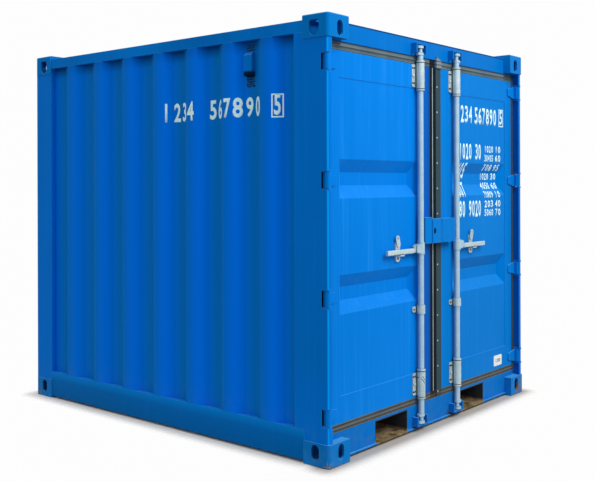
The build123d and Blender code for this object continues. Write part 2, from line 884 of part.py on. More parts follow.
def lock_rod(side):
    """Lock rod: a round bar with a cam at each end, collars at its guides and the hub for the handle."""
    x = rod_x(side)
    rod_low = cam_low + cam_tall
    rod_high = cam_high - cam_tall
    rod = rod_along_z(x, rod_y, rod_radius, rod_low, rod_high)
    for low in (top_guide[0] - collar_gap - collar_high, top_guide[1] + collar_gap,
                bottom_guide[1] + collar_gap, bottom_guide[0] - collar_gap - collar_high):
        rod += rod_along_z(x, rod_y, collar_radius, low, low + collar_high)
    rod += cam(side, cam_low, cam_low + cam_tall)
    rod += cam(side, cam_high - cam_tall, cam_high)
    z0 = hub_level - hub_high / 2
    z1 = hub_level + hub_high / 2
    hub = rod_along_z(x, rod_y, hub_radius, z0, z1)
    for way in (-1, 1):
        y0 = rod_y + way * cheek_gap / 2
        y1 = rod_y + way * (cheek_gap / 2 + cheek_thick)
        cheek = block(x, x + side * hub_reach, y0, y1, z0 + hub_cheek_margin, z1 - hub_cheek_margin)
        outer_edges = cheek.edges().filter_by(Axis.Y).filter_by(lambda e: abs(e.center().X - x) > 1)
        hub += fillet(outer_edges, hub_corner)
    hub += rod_along_y(x + side * pivot_reach, hub_level, pivot_radius,
                       rod_y - cheek_gap / 2 - cheek_thick, rod_y + cheek_gap / 2 + cheek_thick)
    return rod + hub


def handle(side):
    """Handle: a flat root between the hub's cheeks and a rounded grip."""
    x = rod_x(side)
    pivot = x + side * pivot_reach
    step = x + side * (hub_reach + step_beyond_hub)
    end = x + side * handle_reach
    z0 = handle_level - handle_high / 2
    z1 = handle_level + handle_high / 2
    root = block(pivot, step, rod_y - root_thick / 2, rod_y + root_thick / 2,
                 hub_level - root_high / 2, hub_level + root_high / 2)
    root += rod_along_y(pivot, hub_level, root_high / 2, rod_y - root_thick / 2, rod_y + root_thick / 2)
    grip = block(step, end, rod_y - handle_thick / 2, rod_y + handle_thick / 2, z0, z1)
    grip = fillet(grip.edges().filter_by(Axis.X), grip_rounding)
    body = root + grip
    return body - rod_along_y(pivot, hub_level, pivot_radius + pin_clearance,
                              rod_y - root_thick, rod_y + root_thick)


def hood(x0, x1, front_gap, low, high):
    """Hood on the doors' face, open below: its outer form and its hollow."""
    outer = block(x0, x1, front + front_gap, door_face, low, high)
    hollow = block(x0, x1, front + front_gap + box_wall, door_face, low, high - box_wall)
    return outer, hollow


def padlock_box(side):
    """Half of the padlock box; the left half steps forward beside its padlock hole."""
    near = box_seam + side * box_gap
    far = split_x + side * (box_left_reach if side < 0 else box_right_reach)
    if side > 0:
        outer, hollow = hood(near, far - box_wall, box_front, box_low, box_high)
        end = block(far - box_wall, far, front + box_front, door_face, box_low, box_high)
        return outer - hollow + end
    outer, hollow = hood(box_step_x, near, box_front, box_low, box_high)
    box = outer
    side_outer, side_hollow = hood(far + box_wall, box_step_x, box_front + box_step, box_low, box_high + box_rise)
    box += side_outer
    box += block(far, far + box_wall, front + box_front + box_step, door_face, box_low, box_high + box_rise)
    keep = block(box_step_x, box_step_x + box_wall, front, front + box_front + box_step + box_wall,
                 box_low, box_high)
    box -= hollow - keep
    box -= side_hollow
    hole = Pos(box_hole_x, front + box_front, box_hole_z) * Rot(90, 0, 0) * SlotOverall(box_hole_high, box_hole_wide,
                                                                                     rotation=90)
    return box - extrude(hole, amount=2 * box_wall, both=True)


# Write every piece
write_castings()
save(both_ways(door_post()), "door_post_left")
save(door_post(), "door_post_right")
save(both_ways(rear_post()), "rear_post_left")
save(rear_post(), "rear_post_right")
save(both_ways(bottom_side_rail()), "bottom_rail_left")
save(bottom_side_rail(), "bottom_rail_right")
save(both_ways(top_side_rail()), "top_rail_left")
save(top_side_rail(), "top_rail_right")
save(door_header(), "door_header")
save(door_sill(), "door_sill")
save(rear_top_rail(), "rear_top_rail")
save(rear_bottom_rail(), "rear_bottom_rail")
save(fork_pocket(-1), "fork_pocket_left")
save(fork_pocket(1), "fork_pocket_right")
save(cross_members(), "cross_members")
save(floor_deck(), "floor")
save(both_ways(side_wall()), "side_wall_left")
save(side_wall(), "side_wall_right")
save(rear_wall(), "rear_wall")
save(roof_sheet(), "roof")
save(Compound(children=[both_ways(vent_hood()), vent_hood()]), "vent_hoods")
save(cam_keepers(), "cam_keepers")
for side, name in ((-1, "left"), (1, "right")):
    save(hinge_lugs(side), "hinge_lugs_" + name)
    save(leaf_frame(side), name + "_door_frame")
    save(leaf_panel(side), name + "_door_panel")
    save(leaf_gasket(side), name + "_door_gasket")
    save(leaf_hinges(side), name + "_door_hinges")
    save(lock_brackets(side), name + "_lock_brackets")
    save(padlock_box(side), name + "_padlock_box")
    save(catch(side), name + "_catch")
    save(lock_rod(side), name + "_lock_rod")
    save(handle(side), name + "_handle")
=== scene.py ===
import math

import bpy
from mathutils import Matrix, Vector


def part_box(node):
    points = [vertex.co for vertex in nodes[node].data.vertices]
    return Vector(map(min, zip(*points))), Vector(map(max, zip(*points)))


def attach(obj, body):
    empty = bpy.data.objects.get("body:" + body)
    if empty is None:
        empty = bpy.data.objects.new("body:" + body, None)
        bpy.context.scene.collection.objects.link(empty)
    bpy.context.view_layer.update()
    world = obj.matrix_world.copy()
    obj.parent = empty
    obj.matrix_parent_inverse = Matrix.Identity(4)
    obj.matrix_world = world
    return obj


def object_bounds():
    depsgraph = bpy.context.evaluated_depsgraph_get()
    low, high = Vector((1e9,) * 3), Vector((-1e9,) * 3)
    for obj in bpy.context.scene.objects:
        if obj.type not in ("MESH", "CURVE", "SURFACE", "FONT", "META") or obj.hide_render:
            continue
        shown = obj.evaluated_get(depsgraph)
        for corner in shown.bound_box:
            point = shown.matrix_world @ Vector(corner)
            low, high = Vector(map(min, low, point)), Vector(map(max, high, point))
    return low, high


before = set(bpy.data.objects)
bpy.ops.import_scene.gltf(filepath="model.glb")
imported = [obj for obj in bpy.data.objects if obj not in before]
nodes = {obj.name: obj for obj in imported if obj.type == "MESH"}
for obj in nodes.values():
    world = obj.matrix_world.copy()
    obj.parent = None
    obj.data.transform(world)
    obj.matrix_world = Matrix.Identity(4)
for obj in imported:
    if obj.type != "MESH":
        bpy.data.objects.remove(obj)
cad_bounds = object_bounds()
scene = bpy.context.scene


# Stage, light and camera
# A pale floor that fades into a white background round the container, one large soft light in front of
# the doors, a weak one at the side and a sky that is brighter overhead. The camera stands level, where
# the photograph's stood, with its lens shifted.

def linear(code):
    """Linear colour of an sRGB hex code."""
    values = [int(code[i:i + 2], 16) / 255 for i in (0, 2, 4)]
    return tuple(v / 12.92 if v <= 0.04045 else ((v + 0.055) / 1.055) ** 2.4 for v in values) + (1.0,)


def add(tree, kind, inputs=None, out=0, **settings):
    """Add a shader node with its settings and links, and give one of its outputs."""
    made = tree.nodes.new("ShaderNode" + kind)
    for name, value in settings.items():
        setattr(made, name, value)
    for name, value in (inputs or {}).items():
        if isinstance(value, bpy.types.NodeSocket):
            tree.links.new(value, made.inputs[name])
        else:
            made.inputs[name].default_value = value
    return made.outputs[out] if made.outputs else made


def new_finish(name):
    """An empty material and its node tree."""
    material = bpy.data.materials.new(name)
    material.use_nodes = True
    material.node_tree.nodes.clear()
    return material, material.node_tree


FLOOR_RADIUS = 9.0
FLOOR_DROP = 0.0005
FLOOR_GONE = 0.12
FRONT_REACH = 0.09
UNDER_SILL = (0.06, 0.12)

bpy.ops.object.select_all(action="DESELECT")
bpy.ops.mesh.primitive_circle_add(vertices=128, radius=FLOOR_RADIUS, fill_type="NGON",
                                  location=(0, 0, -FLOOR_DROP))
studio_floor = bpy.context.object
studio_floor.name = "studio_floor"
material, tree = new_finish("pale studio floor")
place = add(tree, "TexCoord", out="Object")
outside = add(tree, "VectorMath", {0: place}, operation="ABSOLUTE")
corner = (cad_bounds[1][0], cad_bounds[1][1], 1.0)
outside = add(tree, "VectorMath", {0: outside, 1: corner}, operation="SUBTRACT")
outside = add(tree, "VectorMath", {0: outside, 1: (0, 0, 0)}, operation="MAXIMUM")
away = add(tree, "VectorMath", {0: outside}, "Value", operation="LENGTH")
fade = add(tree, "MapRange", {"Value": away, "From Max": FLOOR_GONE}, interpolation_type="SMOOTHSTEP")
# Painted shadow: the floor is darker in a strip from about 90 mm in front of the doors to just under the
# sill.
front = cad_bounds[0][1]
along = add(tree, "SeparateXYZ", {0: place}, "Y")
lit = add(tree, "MapRange", {"Value": along, "From Min": front, "From Max": front - FRONT_REACH})
behind = add(tree, "MapRange", {"Value": along, "From Min": front + UNDER_SILL[0],
                                "From Max": front + UNDER_SILL[1]})
lit = add(tree, "Math", {0: lit, 1: behind}, operation="MAXIMUM")
colour = add(tree, "Mix", {0: lit, 6: linear("B2ACA4"), 7: linear("F6EFE4")}, 2, data_type="RGBA")
matt = add(tree, "BsdfDiffuse", {"Color": colour})
clear = add(tree, "BsdfTransparent")
mixed = add(tree, "MixShader", {0: fade, 1: matt, 2: clear})
add(tree, "OutputMaterial", {"Surface": mixed})
studio_floor.data.materials.append(material)

SKY_COLOUR = (0.95, 0.98, 1.0, 1.0)
SKY_LOW = 0.40
SKY_HIGH = 0.90
WHITE = 0.985
world = bpy.data.worlds.new("sky")
scene.world = world
world.use_nodes = True
tree = world.node_tree
tree.nodes.clear()
direction = add(tree, "TexCoord", out="Generated")
upward = add(tree, "SeparateXYZ", {0: direction}, "Z")
strength = add(tree, "MapRange", {"Value": upward, "To Min": SKY_LOW, "To Max": SKY_HIGH})
sky = add(tree, "Background", {"Color": SKY_COLOUR, "Strength": strength})
backdrop = add(tree, "Background", {"Color": (1, 1, 1, 1), "Strength": WHITE})
seen = add(tree, "LightPath", out="Is Camera Ray")
mirrored = add(tree, "Math", {0: seen, 1: seen.node.outputs["Is Glossy Ray"]}, operation="MAXIMUM")
shown = add(tree, "Math", {0: mirrored, 1: seen.node.outputs["Is Transmission Ray"]}, operation="MAXIMUM")
either = add(tree, "MixShader", {0: shown, 1: sky, 2: backdrop})
add(tree, "OutputWorld", {"Surface": either})


def soft_light(name, place, target, size, power):
    """Square soft light that faces a point."""
    light = bpy.data.lights.new(name, "AREA")
    light.shape = "SQUARE"
    light.size = size
    light.energy = power
    holder = bpy.data.objects.new(name, light)
    holder.location = place
    holder.rotation_euler = (Vector(target) - Vector(place)).to_track_quat("-Z", "Y").to_euler()
    scene.collection.objects.link(holder)


soft_light("door_end_light", (-0.2, -6.2, 6.2), (0, -0.6, 1.0), 4.0, 420)
soft_light("side_light", (-7.0, 1.5, 4.5), (-0.6, 0, 1.0), 4.0, 25)

CAMERA_PLACE = (-4.635, -3.830, 1.413)
CAMERA_HEADING = 48.43
CAMERA_ROLL = 0.17
camera_data = bpy.data.cameras.new("camera")
camera_data.lens = 53.84
camera_data.sensor_width = 36.0
camera_data.shift_x = 0.082
camera_data.shift_y = -0.096
camera = bpy.data.objects.new("camera", camera_data)
camera.location = CAMERA_PLACE
camera.rotation_euler = (math.radians(90), math.radians(CAMERA_ROLL), math.radians(-CAMERA_HEADING))
scene.collection.objects.link(camera)
scene.camera = camera
scene.view_settings.view_transform = "Standard"


# Frame: corner castings, posts, rails, header and sill
# Cast and folded steel, welded and sprayed with semi-gloss blue container paint. The eye sees broad
# fading, faint upright wash marks, an orange-peel skin, dust low down, and rubbed corners with primer
# and rust.

PAINT = "0078E2"
PAINT_FADED = "0074D0"
RAIL_PAINT = "0070C8"
RAIL_FADED = "006EBE"
CASTING_PAINT = "0276C6"
SHEEN = (0.06, 0.45, 1.0, 1.0)
WASH_MARK = "2494F2"
LEDGE_DUST_AND_LIGHT = "6CC4EC"
DUST = "7D7A72"
EDGE_WEAR_AND_HIGHLIGHT = "4C9CDC"
PRIMER = "6F8296"
RUST = "6A4A38"


def painted_steel(name, base, faded, dust=0.25, wash=0.10, rubs=(), grime=()):
    """Semi-gloss blue paint; rubs and grime are (point, radius) pairs for bare patches and dirt."""
    material, tree = new_finish(name)
    place = add(tree, "TexCoord", out="Object")
    broad = add(tree, "TexNoise", {"Vector": place, "Scale": 1.4, "Detail": 4.0})
    share = add(tree, "MapRange", {"Value": broad, "From Min": 0.35, "From Max": 0.7})
    colour = add(tree, "Mix", {0: share, 6: linear(base), 7: linear(faded)}, 2, data_type="RGBA")

    # Wash marks run down the steel, about 25 mm apart
    narrow = add(tree, "Mapping", {"Vector": place, "Scale": (38.0, 38.0, 1.1)})
    upright = add(tree, "TexNoise", {"Vector": narrow, "Scale": 1.0, "Detail": 3.0, "Roughness": 0.6})
    marks = add(tree, "MapRange", {"Value": upright, "From Min": 0.5, "From Max": 0.75, "To Max": wash})
    colour = add(tree, "Mix", {0: marks, 6: colour, 7: linear(WASH_MARK)}, 2, data_type="RGBA")

    # Dust lies on the lowest 300 mm
    level = add(tree, "SeparateXYZ", {0: place}, "Z")
    low = add(tree, "MapRange", {"Value": level, "From Max": 0.3, "To Min": dust, "To Max": 0.0})
    specks = add(tree, "TexNoise", {"Vector": place, "Scale": 21.0, "Detail": 6.0, "Roughness": 0.65})
    specks = add(tree, "MapRange", {"Value": specks, "From Min": 0.42, "From Max": 0.75})
    dirt = add(tree, "Math", {0: low, 1: specks}, operation="MULTIPLY")
    colour = add(tree, "Mix", {0: dirt, 6: colour, 7: linear(DUST)}, 2, data_type="RGBA")

    # Dirt that was thrown up or dripped, brown to black
    smear = add(tree, "TexNoise", {"Vector": place, "Scale": 46.0, "Detail": 6.0, "Roughness": 0.7})
    for point, radius in grime:
        off = add(tree, "VectorMath", {0: place, 1: point}, "Value", operation="DISTANCE")
        near = add(tree, "MapRange", {"Value": off, "From Max": radius, "To Min": 0.62, "To Max": 0.0})
        level = add(tree, "Math", {0: near, 1: smear}, operation="ADD")
        patch = add(tree, "MapRange", {"Value": level, "From Min": 0.72, "From Max": 0.95, "To Max": 0.9})
        colour = add(tree, "Mix", {0: patch, 6: colour, 7: linear("3B2C20")}, 2, data_type="RGBA")

    # Corners rubbed to primer and rust
    tall = add(tree, "Mapping", {"Vector": place, "Scale": (1.0, 1.0, 0.35)})
    ragged = add(tree, "TexNoise", {"Vector": tall, "Scale": 130.0, "Detail": 5.0, "Roughness": 0.7})
    spots = add(tree, "TexNoise", {"Vector": place, "Scale": 60.0, "Detail": 3.0})
    under = add(tree, "MapRange", {"Value": spots, "From Min": 0.45, "From Max": 0.55})
    under = add(tree, "Mix", {0: under, 6: linear(PRIMER), 7: linear(RUST)}, 2, data_type="RGBA")
    for point, radius in rubs:
        off = add(tree, "VectorMath", {0: place, 1: point}, "Value", operation="DISTANCE")
        near = add(tree, "MapRange", {"Value": off, "From Max": radius, "To Min": 0.32, "To Max": 0.0})
        level = add(tree, "Math", {0: near, 1: ragged}, operation="ADD")
        bare = add(tree, "MapRange", {"Value": level, "From Min": 0.71, "From Max": 0.76})
        colour = add(tree, "Mix", {0: bare, 6: colour, 7: under}, 2, data_type="RGBA")

    # What faces up is painted paler, as light with dusty specks
    rounded = add(tree, "Bevel", {"Radius": 0.004}, samples=4)
    flat = add(tree, "NewGeometry", out="Normal")
    up = add(tree, "SeparateXYZ", {0: flat}, "Z")
    ledge = add(tree, "MapRange", {"Value": up, "From Min": 0.42, "From Max": 0.95, "To Max": 0.6})
    settled = add(tree, "MapRange", {"Value": specks, "To Min": 0.5})
    ledge = add(tree, "Math", {0: ledge, 1: settled}, operation="MULTIPLY")
    colour = add(tree, "Mix", {0: ledge, 6: colour, 7: linear(LEDGE_DUST_AND_LIGHT)}, 2, data_type="RGBA")
    # Edges are painted paler over about 4 mm, as a ragged highlight with wear
    same = add(tree, "VectorMath", {0: rounded, 1: flat}, "Value", operation="DOT_PRODUCT")
    edge = add(tree, "MapRange", {"Value": same, "From Min": 0.98, "From Max": 0.80, "To Max": 0.75})
    worn = add(tree, "MapRange", {"Value": ragged, "From Min": 0.35, "From Max": 0.6})
    edge = add(tree, "Math", {0: edge, 1: worn}, operation="MULTIPLY")
    colour = add(tree, "Mix", {0: edge, 6: colour, 7: linear(EDGE_WEAR_AND_HIGHLIGHT)}, 2, data_type="RGBA")

    # Orange peel of about 1.5 mm and shallow dents of about 200 mm
    skin = add(tree, "TexNoise", {"Vector": place, "Scale": 620.0})
    peel = add(tree, "Bump", {"Strength": 0.05, "Distance": 0.0006, "Height": skin})
    buckle = add(tree, "TexNoise", {"Vector": place, "Scale": 4.5})
    dents = add(tree, "Bump", {"Strength": 0.16, "Distance": 0.010, "Height": buckle, "Normal": peel})
    rough = add(tree, "MapRange", {"Value": broad, "To Min": 0.34, "To Max": 0.52})
    shade = add(tree, "BsdfPrincipled", {"Base Color": colour, "Roughness": rough,
                                         "Specular IOR Level": 0.03, "Specular Tint": SHEEN,
                                         "Normal": dents})
    add(tree, "OutputMaterial", {"Surface": shade})
    return material


def dress(names, material):
    """Give CAD nodes one finish."""
    for name in names:
        mesh = nodes[name].data
        if not mesh.materials:
            mesh.materials.append(material)
        for index in range(len(mesh.materials)):
            mesh.materials[index] = material


castings = [name for name in nodes if name.startswith("casting_")]
post_names = ["rear_post_left", "rear_post_right", "hinge_lugs_left", "hinge_lugs_right"]
rail_names = ["rear_top_rail", "rear_bottom_rail", "cross_members", "cam_keepers"]
casting_rubs = (((-1.09, -1.21, 0.0), 0.07), ((-1.09, 1.2, 0.0), 0.08), ((1.09, 1.2, 0.0), 0.10))
dress(castings, painted_steel("blue paint, castings", CASTING_PAINT, CASTING_PAINT, 0.15, rubs=casting_rubs))
dress(post_names, painted_steel("blue paint, posts", PAINT, PAINT_FADED, 0.1))
dress(rail_names, painted_steel("blue paint, rails", RAIL_PAINT, RAIL_FADED, 0.12))


# Side rails
# Square tube along the roof and folded sheet along the ground. The upper ones face more sky and have
# kept their colour; the lower ones carry a painted highlight along their top and are painted darker
# towards the foot, as shade.

TOP_RAIL_PAINT = "0080DE"
SIDE_FOOT = 0.012
SIDE_HEAD = 0.165
HIGHLIGHT_BAND = 0.045


def cover(material, share, colour):
    """Lay one more colour over a finish."""
    tree = material.node_tree
    shader = [node for node in tree.nodes if node.type == "BSDF_PRINCIPLED"][0]
    under = shader.inputs["Base Color"].links[0].from_socket
    mixed = add(tree, "Mix", {0: share, 6: under, 7: colour}, 2, data_type="RGBA")
    tree.links.new(mixed, shader.inputs["Base Color"])


def open_finish(material):
    """A finish's node tree, with the place on the piece and its height."""
    tree = material.node_tree
    place = add(tree, "TexCoord", out="Object")
    return tree, place, add(tree, "SeparateXYZ", {0: place}, "Z")


low_paint = painted_steel("blue paint, bottom rails", RAIL_PAINT, RAIL_FADED, 0.03)
tree, _, level = open_finish(low_paint)
# Painted shade, darker towards the foot
foot = add(tree, "MapRange", {"Value": level, "From Min": SIDE_FOOT, "From Max": SIDE_HEAD, "To Min": 0.42,
                              "To Max": 0.0})
cover(low_paint, foot, linear("004A78"))
# Painted highlight along the top of the rail
head = add(tree, "MapRange", {"Value": level, "From Min": SIDE_HEAD - HIGHLIGHT_BAND, "From Max": SIDE_HEAD,
                              "To Max": 0.7})
cover(low_paint, head, linear("048CE4"))
dress(["bottom_rail_left", "bottom_rail_right"], low_paint)
dress(["top_rail_left", "top_rail_right"],
      painted_steel("blue paint, top rails", TOP_RAIL_PAINT, RAIL_PAINT, 0.0))


# Door posts
# Welded from folded plate, with four notches each for the hinges, whose insides are painted nearly black
# as shade. The outer bend of each is painted brighter as a highlight.

HINGE_LOW = 0.246
HINGE_PITCH = 0.5907
NOTCH_HALF = 0.0405
NOTCH_WIDE = 1.0925
NOTCH_FRONT = -1.2115
NOTCH_BACK = -1.150
BEND_SIDE = 1.084
BEND_BACK = -1.203
BEND_WIDE = 0.005
BEND_DEEP = 0.003

post_paint = painted_steel("blue paint, door posts", PAINT, PAINT_FADED, 0.1)
tree, _, level = open_finish(post_paint)
# Painted shade: the insides of the hinge notches are painted nearly black
past = add(tree, "Math", {0: level, 1: HINGE_PITCH / 2 - HINGE_LOW}, operation="ADD")
past = add(tree, "Math", {0: past, 1: HINGE_PITCH}, operation="MODULO")
past = add(tree, "Math", {0: past, 1: HINGE_PITCH / 2}, operation="SUBTRACT")
past = add(tree, "Math", {0: past}, operation="ABSOLUTE")
notch_shade = add(tree, "Math", {0: past, 1: NOTCH_HALF}, operation="LESS_THAN")
wide = add(tree, "Math", {0: level.node.outputs["X"]}, operation="ABSOLUTE")
# Painted highlight along the outer bend of each post
outer = add(tree, "MapRange", {"Value": wide, "From Min": BEND_SIDE, "From Max": BEND_SIDE + BEND_WIDE})
depth = level.node.outputs["Y"]
ahead = add(tree, "MapRange", {"Value": depth, "From Min": BEND_BACK, "From Max": BEND_BACK - BEND_DEEP})
bend_highlight = add(tree, "Math", {0: outer, 1: ahead}, operation="MULTIPLY")
cover(post_paint, bend_highlight, linear("08A0FF"))
for value, limit, test in ((wide, NOTCH_WIDE, "LESS_THAN"), (depth, NOTCH_FRONT, "GREATER_THAN"),
                           (depth, NOTCH_BACK, "LESS_THAN")):
    within = add(tree, "Math", {0: value, 1: limit}, operation=test)
    notch_shade = add(tree, "Math", {0: notch_shade, 1: within}, operation="MULTIPLY")
cover(post_paint, notch_shade, linear("03080E"))
dress(["door_post_left", "door_post_right"], post_paint)


# Door header
# Folded sheet over the doors, in the rails' paint, with a dark line painted along its top at the roof's
# edge.

TOP_LINE_LOW = 2.2295

header_paint = painted_steel("blue paint, header", RAIL_PAINT, RAIL_FADED, 0.1)
tree, _, level = open_finish(header_paint)
high = add(tree, "Math", {0: level, 1: TOP_LINE_LOW}, operation="GREATER_THAN")
cover(header_paint, high, linear("0A3C66"))
dress(["door_header"], header_paint)


# Scraped corner
# The lower casting on the right has been dragged against something: one rusty scratch runs down across
# its front.

SCRATCH_TOP = (1.085, 0.108)
SCRATCH_FOOT = (0.985, 0.008)

scraped_paint = painted_steel("blue paint, scraped casting", CASTING_PAINT, CASTING_PAINT, 0.15,
                              rubs=(((1.06, -1.219, 0.03), 0.11),))
tree, place, level = open_finish(scraped_paint)
run = SCRATCH_TOP[0] - SCRATCH_FOOT[0]
fall = SCRATCH_TOP[1] - SCRATCH_FOOT[1]
slope = math.hypot(run, fall)
off = add(tree, "Math", {0: level.node.outputs["X"], 1: fall / slope,
                         2: -SCRATCH_FOOT[0] * fall / slope}, operation="MULTIPLY_ADD")
off = add(tree, "Math", {0: level, 1: -run / slope, 2: off}, operation="MULTIPLY_ADD")
off = add(tree, "Math", {0: off, 1: SCRATCH_FOOT[1] * run / slope}, operation="ADD")
off = add(tree, "Math", {0: off}, operation="ABSOLUTE")
ragged = add(tree, "TexNoise", {"Vector": place, "Scale": 90.0, "Detail": 4.0, "Roughness": 0.7})
reach = add(tree, "MapRange", {"Value": ragged, "From Min": 0.3, "From Max": 0.7, "To Min": 0.001,
                               "To Max": 0.012})
deep = add(tree, "Math", {0: off, 1: reach}, operation="LESS_THAN")
bare = add(tree, "Mix", {0: ragged, 6: linear("2A2420"), 7: linear("9A8474")}, 2, data_type="RGBA")
cover(scraped_paint, deep, bare)
dress(["casting_door_right_bottom"], scraped_paint)


# Door sill
# Folded sheet between the lower castings, in the rails' paint, with brown mud where forks and boots go:
# on the lip in front of each pocket and under the lock rods.

POCKET_CENTRE = 0.457
POCKET_HALF = 0.157
MUD = "A08C68"
MUD_DARK = "4A3A28"
LIP_HIGH = 0.0225

sill_paint = painted_steel("blue paint, sill", RAIL_PAINT, RAIL_FADED, 0.15,
                           grime=(((-0.184, -1.19, 0.02), 0.10), ((0.190, -1.185, 0.01), 0.09)))
tree, place, level = open_finish(sill_paint)
aside = add(tree, "Math", {0: level.node.outputs["X"]}, operation="ABSOLUTE")
aside = add(tree, "Math", {0: aside, 1: POCKET_CENTRE}, operation="SUBTRACT")
aside = add(tree, "Math", {0: aside}, operation="ABSOLUTE")
inside = add(tree, "Math", {0: aside, 1: POCKET_HALF}, operation="LESS_THAN")
low = add(tree, "Math", {0: level, 1: LIP_HIGH}, operation="LESS_THAN")
lumps = add(tree, "TexNoise", {"Vector": place, "Scale": 24.0, "Detail": 6.0, "Roughness": 0.65})
muddy = add(tree, "MapRange", {"Value": lumps, "From Min": 0.10, "From Max": 0.25})
muddy = add(tree, "Math", {0: muddy, 1: inside}, operation="MULTIPLY")
muddy = add(tree, "Math", {0: muddy, 1: low}, operation="MULTIPLY")
tint = add(tree, "MapRange", {"Value": lumps, "From Min": 0.35, "From Max": 0.65})
mud = add(tree, "Mix", {0: tint, 6: linear(MUD_DARK), 7: linear(MUD)}, 2, data_type="RGBA")
cover(sill_paint, muddy, mud)
dress(["door_sill"], sill_paint)


# Forklift pockets
# Painted tubes, painted nearly black above as shade, with dry brown mud on the
# floor of the tube.

TUBE_MUD = (0.024, 0.034)


def shaded_muddy_steel():
    """Painted shade, nearly black, above; dry mud below."""
    material, tree = new_finish("muddy paint with painted shade")
    place = add(tree, "TexCoord", out="Object")
    lumps = add(tree, "TexNoise", {"Vector": place, "Scale": 24.0, "Detail": 6.0, "Roughness": 0.65})
    level = add(tree, "SeparateXYZ", {0: place}, "Z")
    low = add(tree, "MapRange", {"Value": level, "From Min": TUBE_MUD[0], "From Max": TUBE_MUD[1],
                                 "To Min": 1.0, "To Max": 0.0})
    share = add(tree, "MapRange", {"Value": lumps, "From Min": 0.3, "From Max": 0.6})
    mud = add(tree, "Mix", {0: share, 6: linear(MUD_DARK), 7: linear("A08664")}, 2, data_type="RGBA")
    # Painted shade: nearly black above the mud
    dark = add(tree, "Mix", {0: share, 6: linear("06121E"), 7: linear("1A2026")}, 2, data_type="RGBA")
    colour = add(tree, "Mix", {0: low, 6: dark, 7: mud}, 2, data_type="RGBA")
    bump = add(tree, "Bump", {"Strength": 0.5, "Distance": 0.003, "Height": lumps})
    shade = add(tree, "BsdfPrincipled", {"Base Color": colour, "Roughness": 0.85, "Normal": bump})
    add(tree, "OutputMaterial", {"Surface": shade})
    return material


dress(["fork_pocket_left", "fork_pocket_right"], shaded_muddy_steel())


# Walls and roof
# Corrugated sheet welded between the posts. Its colour carries painted light along the corrugations:
# the flanks that face the doors are a purer blue, the others a greener teal.

WALL_TEAL_SHADED = "0073C4"
WALL_BLUE_LIT = "0078F6"
CREST_FACE = 1.094
WAVE_PITCH = 0.276
WAVE_START = -0.032
VALLEY_FACE = 1.058
WALL_TOP = 2.176
RAIL_SHADE_LOW = 2.105
VENT_Y = -0.676
HOOD_MOUTH = 1.988
HOOD_SIDES = (0.034, 0.026)
DARK_MOUTH_FOOT = (-0.014, -0.002)
DARK_MOUTH_HEAD = (0.030, 0.016)
SPECKS_FOOT = (-0.070, -0.055)


def wall_paint():
    """Blue paint of the corrugated sheets, painted purest on the flanks that face the doors, as light."""
    material = painted_steel("blue paint, walls", WALL_TEAL_SHADED, WALL_BLUE_LIT, 0.15, 0.03)
    tree, place, level = open_finish(material)
    # Painted light: a wave along the wall, bluest on the door-facing flanks, weaker towards the rear
    along = level.node.outputs["Y"]
    phase = add(tree, "Math", {0: along, 1: 2 * math.pi / WAVE_PITCH,
                               2: -2 * math.pi * WAVE_START / WAVE_PITCH}, operation="MULTIPLY_ADD")
    wave = add(tree, "Math", {0: phase}, operation="COSINE")
    share = add(tree, "MapRange", {"Value": wave, "From Min": -1.0})
    lit_falloff = add(tree, "MapRange", {"Value": along, "From Min": -0.1, "From Max": 0.9, "To Min": 1.0,
                                  "To Max": 0.72})
    share = add(tree, "Math", {0: share, 1: lit_falloff}, operation="MULTIPLY")
    mix = [n for n in tree.nodes if n.type == "MIX"][0]
    tree.links.new(share, mix.inputs[0])

    # Painted shade under the top rail, deepest in the valleys
    high = add(tree, "MapRange", {"Value": level, "From Min": RAIL_SHADE_LOW, "From Max": WALL_TOP})
    wide = add(tree, "Math", {0: level.node.outputs["X"]}, operation="ABSOLUTE")
    deep = add(tree, "MapRange", {"Value": wide, "From Min": CREST_FACE, "From Max": VALLEY_FACE,
                                  "To Min": 0.25, "To Max": 0.8})
    rail_shade = add(tree, "Math", {0: high, 1: deep}, operation="MULTIPLY")
    cover(material, rail_shade, linear("002C58"))

    # A dark patch at the mouth of each ventilator hood, with specks below it
    aside = add(tree, "Math", {0: along, 1: VENT_Y}, operation="SUBTRACT")
    aside = add(tree, "Math", {0: aside}, operation="ABSOLUTE")
    near = add(tree, "MapRange", {"Value": aside, "From Min": HOOD_SIDES[0], "From Max": HOOD_SIDES[1]})
    mouth = add(tree, "MapRange", {"Value": level, "From Min": HOOD_MOUTH + DARK_MOUTH_FOOT[0],
                                   "From Max": HOOD_MOUTH + DARK_MOUTH_FOOT[1]})
    under = add(tree, "MapRange", {"Value": level, "From Min": HOOD_MOUTH + DARK_MOUTH_HEAD[0],
                                   "From Max": HOOD_MOUTH + DARK_MOUTH_HEAD[1]})
    dark_mouth = add(tree, "Math", {0: mouth, 1: under}, operation="MULTIPLY")
    dark_mouth = add(tree, "Math", {0: dark_mouth, 1: near}, operation="MULTIPLY")
    specks = add(tree, "TexNoise", {"Vector": place, "Scale": 95.0, "Detail": 3.0})
    specks = add(tree, "MapRange", {"Value": specks, "From Min": 0.40, "From Max": 0.68})
    low = add(tree, "MapRange", {"Value": level, "From Min": HOOD_MOUTH + SPECKS_FOOT[0],
                                 "From Max": HOOD_MOUTH + SPECKS_FOOT[1]})
    low = add(tree, "Math", {0: low, 1: under}, operation="MULTIPLY")
    low = add(tree, "Math", {0: low, 1: near}, operation="MULTIPLY")
    low = add(tree, "Math", {0: low, 1: specks}, operation="MULTIPLY")
    cover(material, low, linear("103C54"))
    cover(material, dark_mouth, linear("041C30"))
    return material


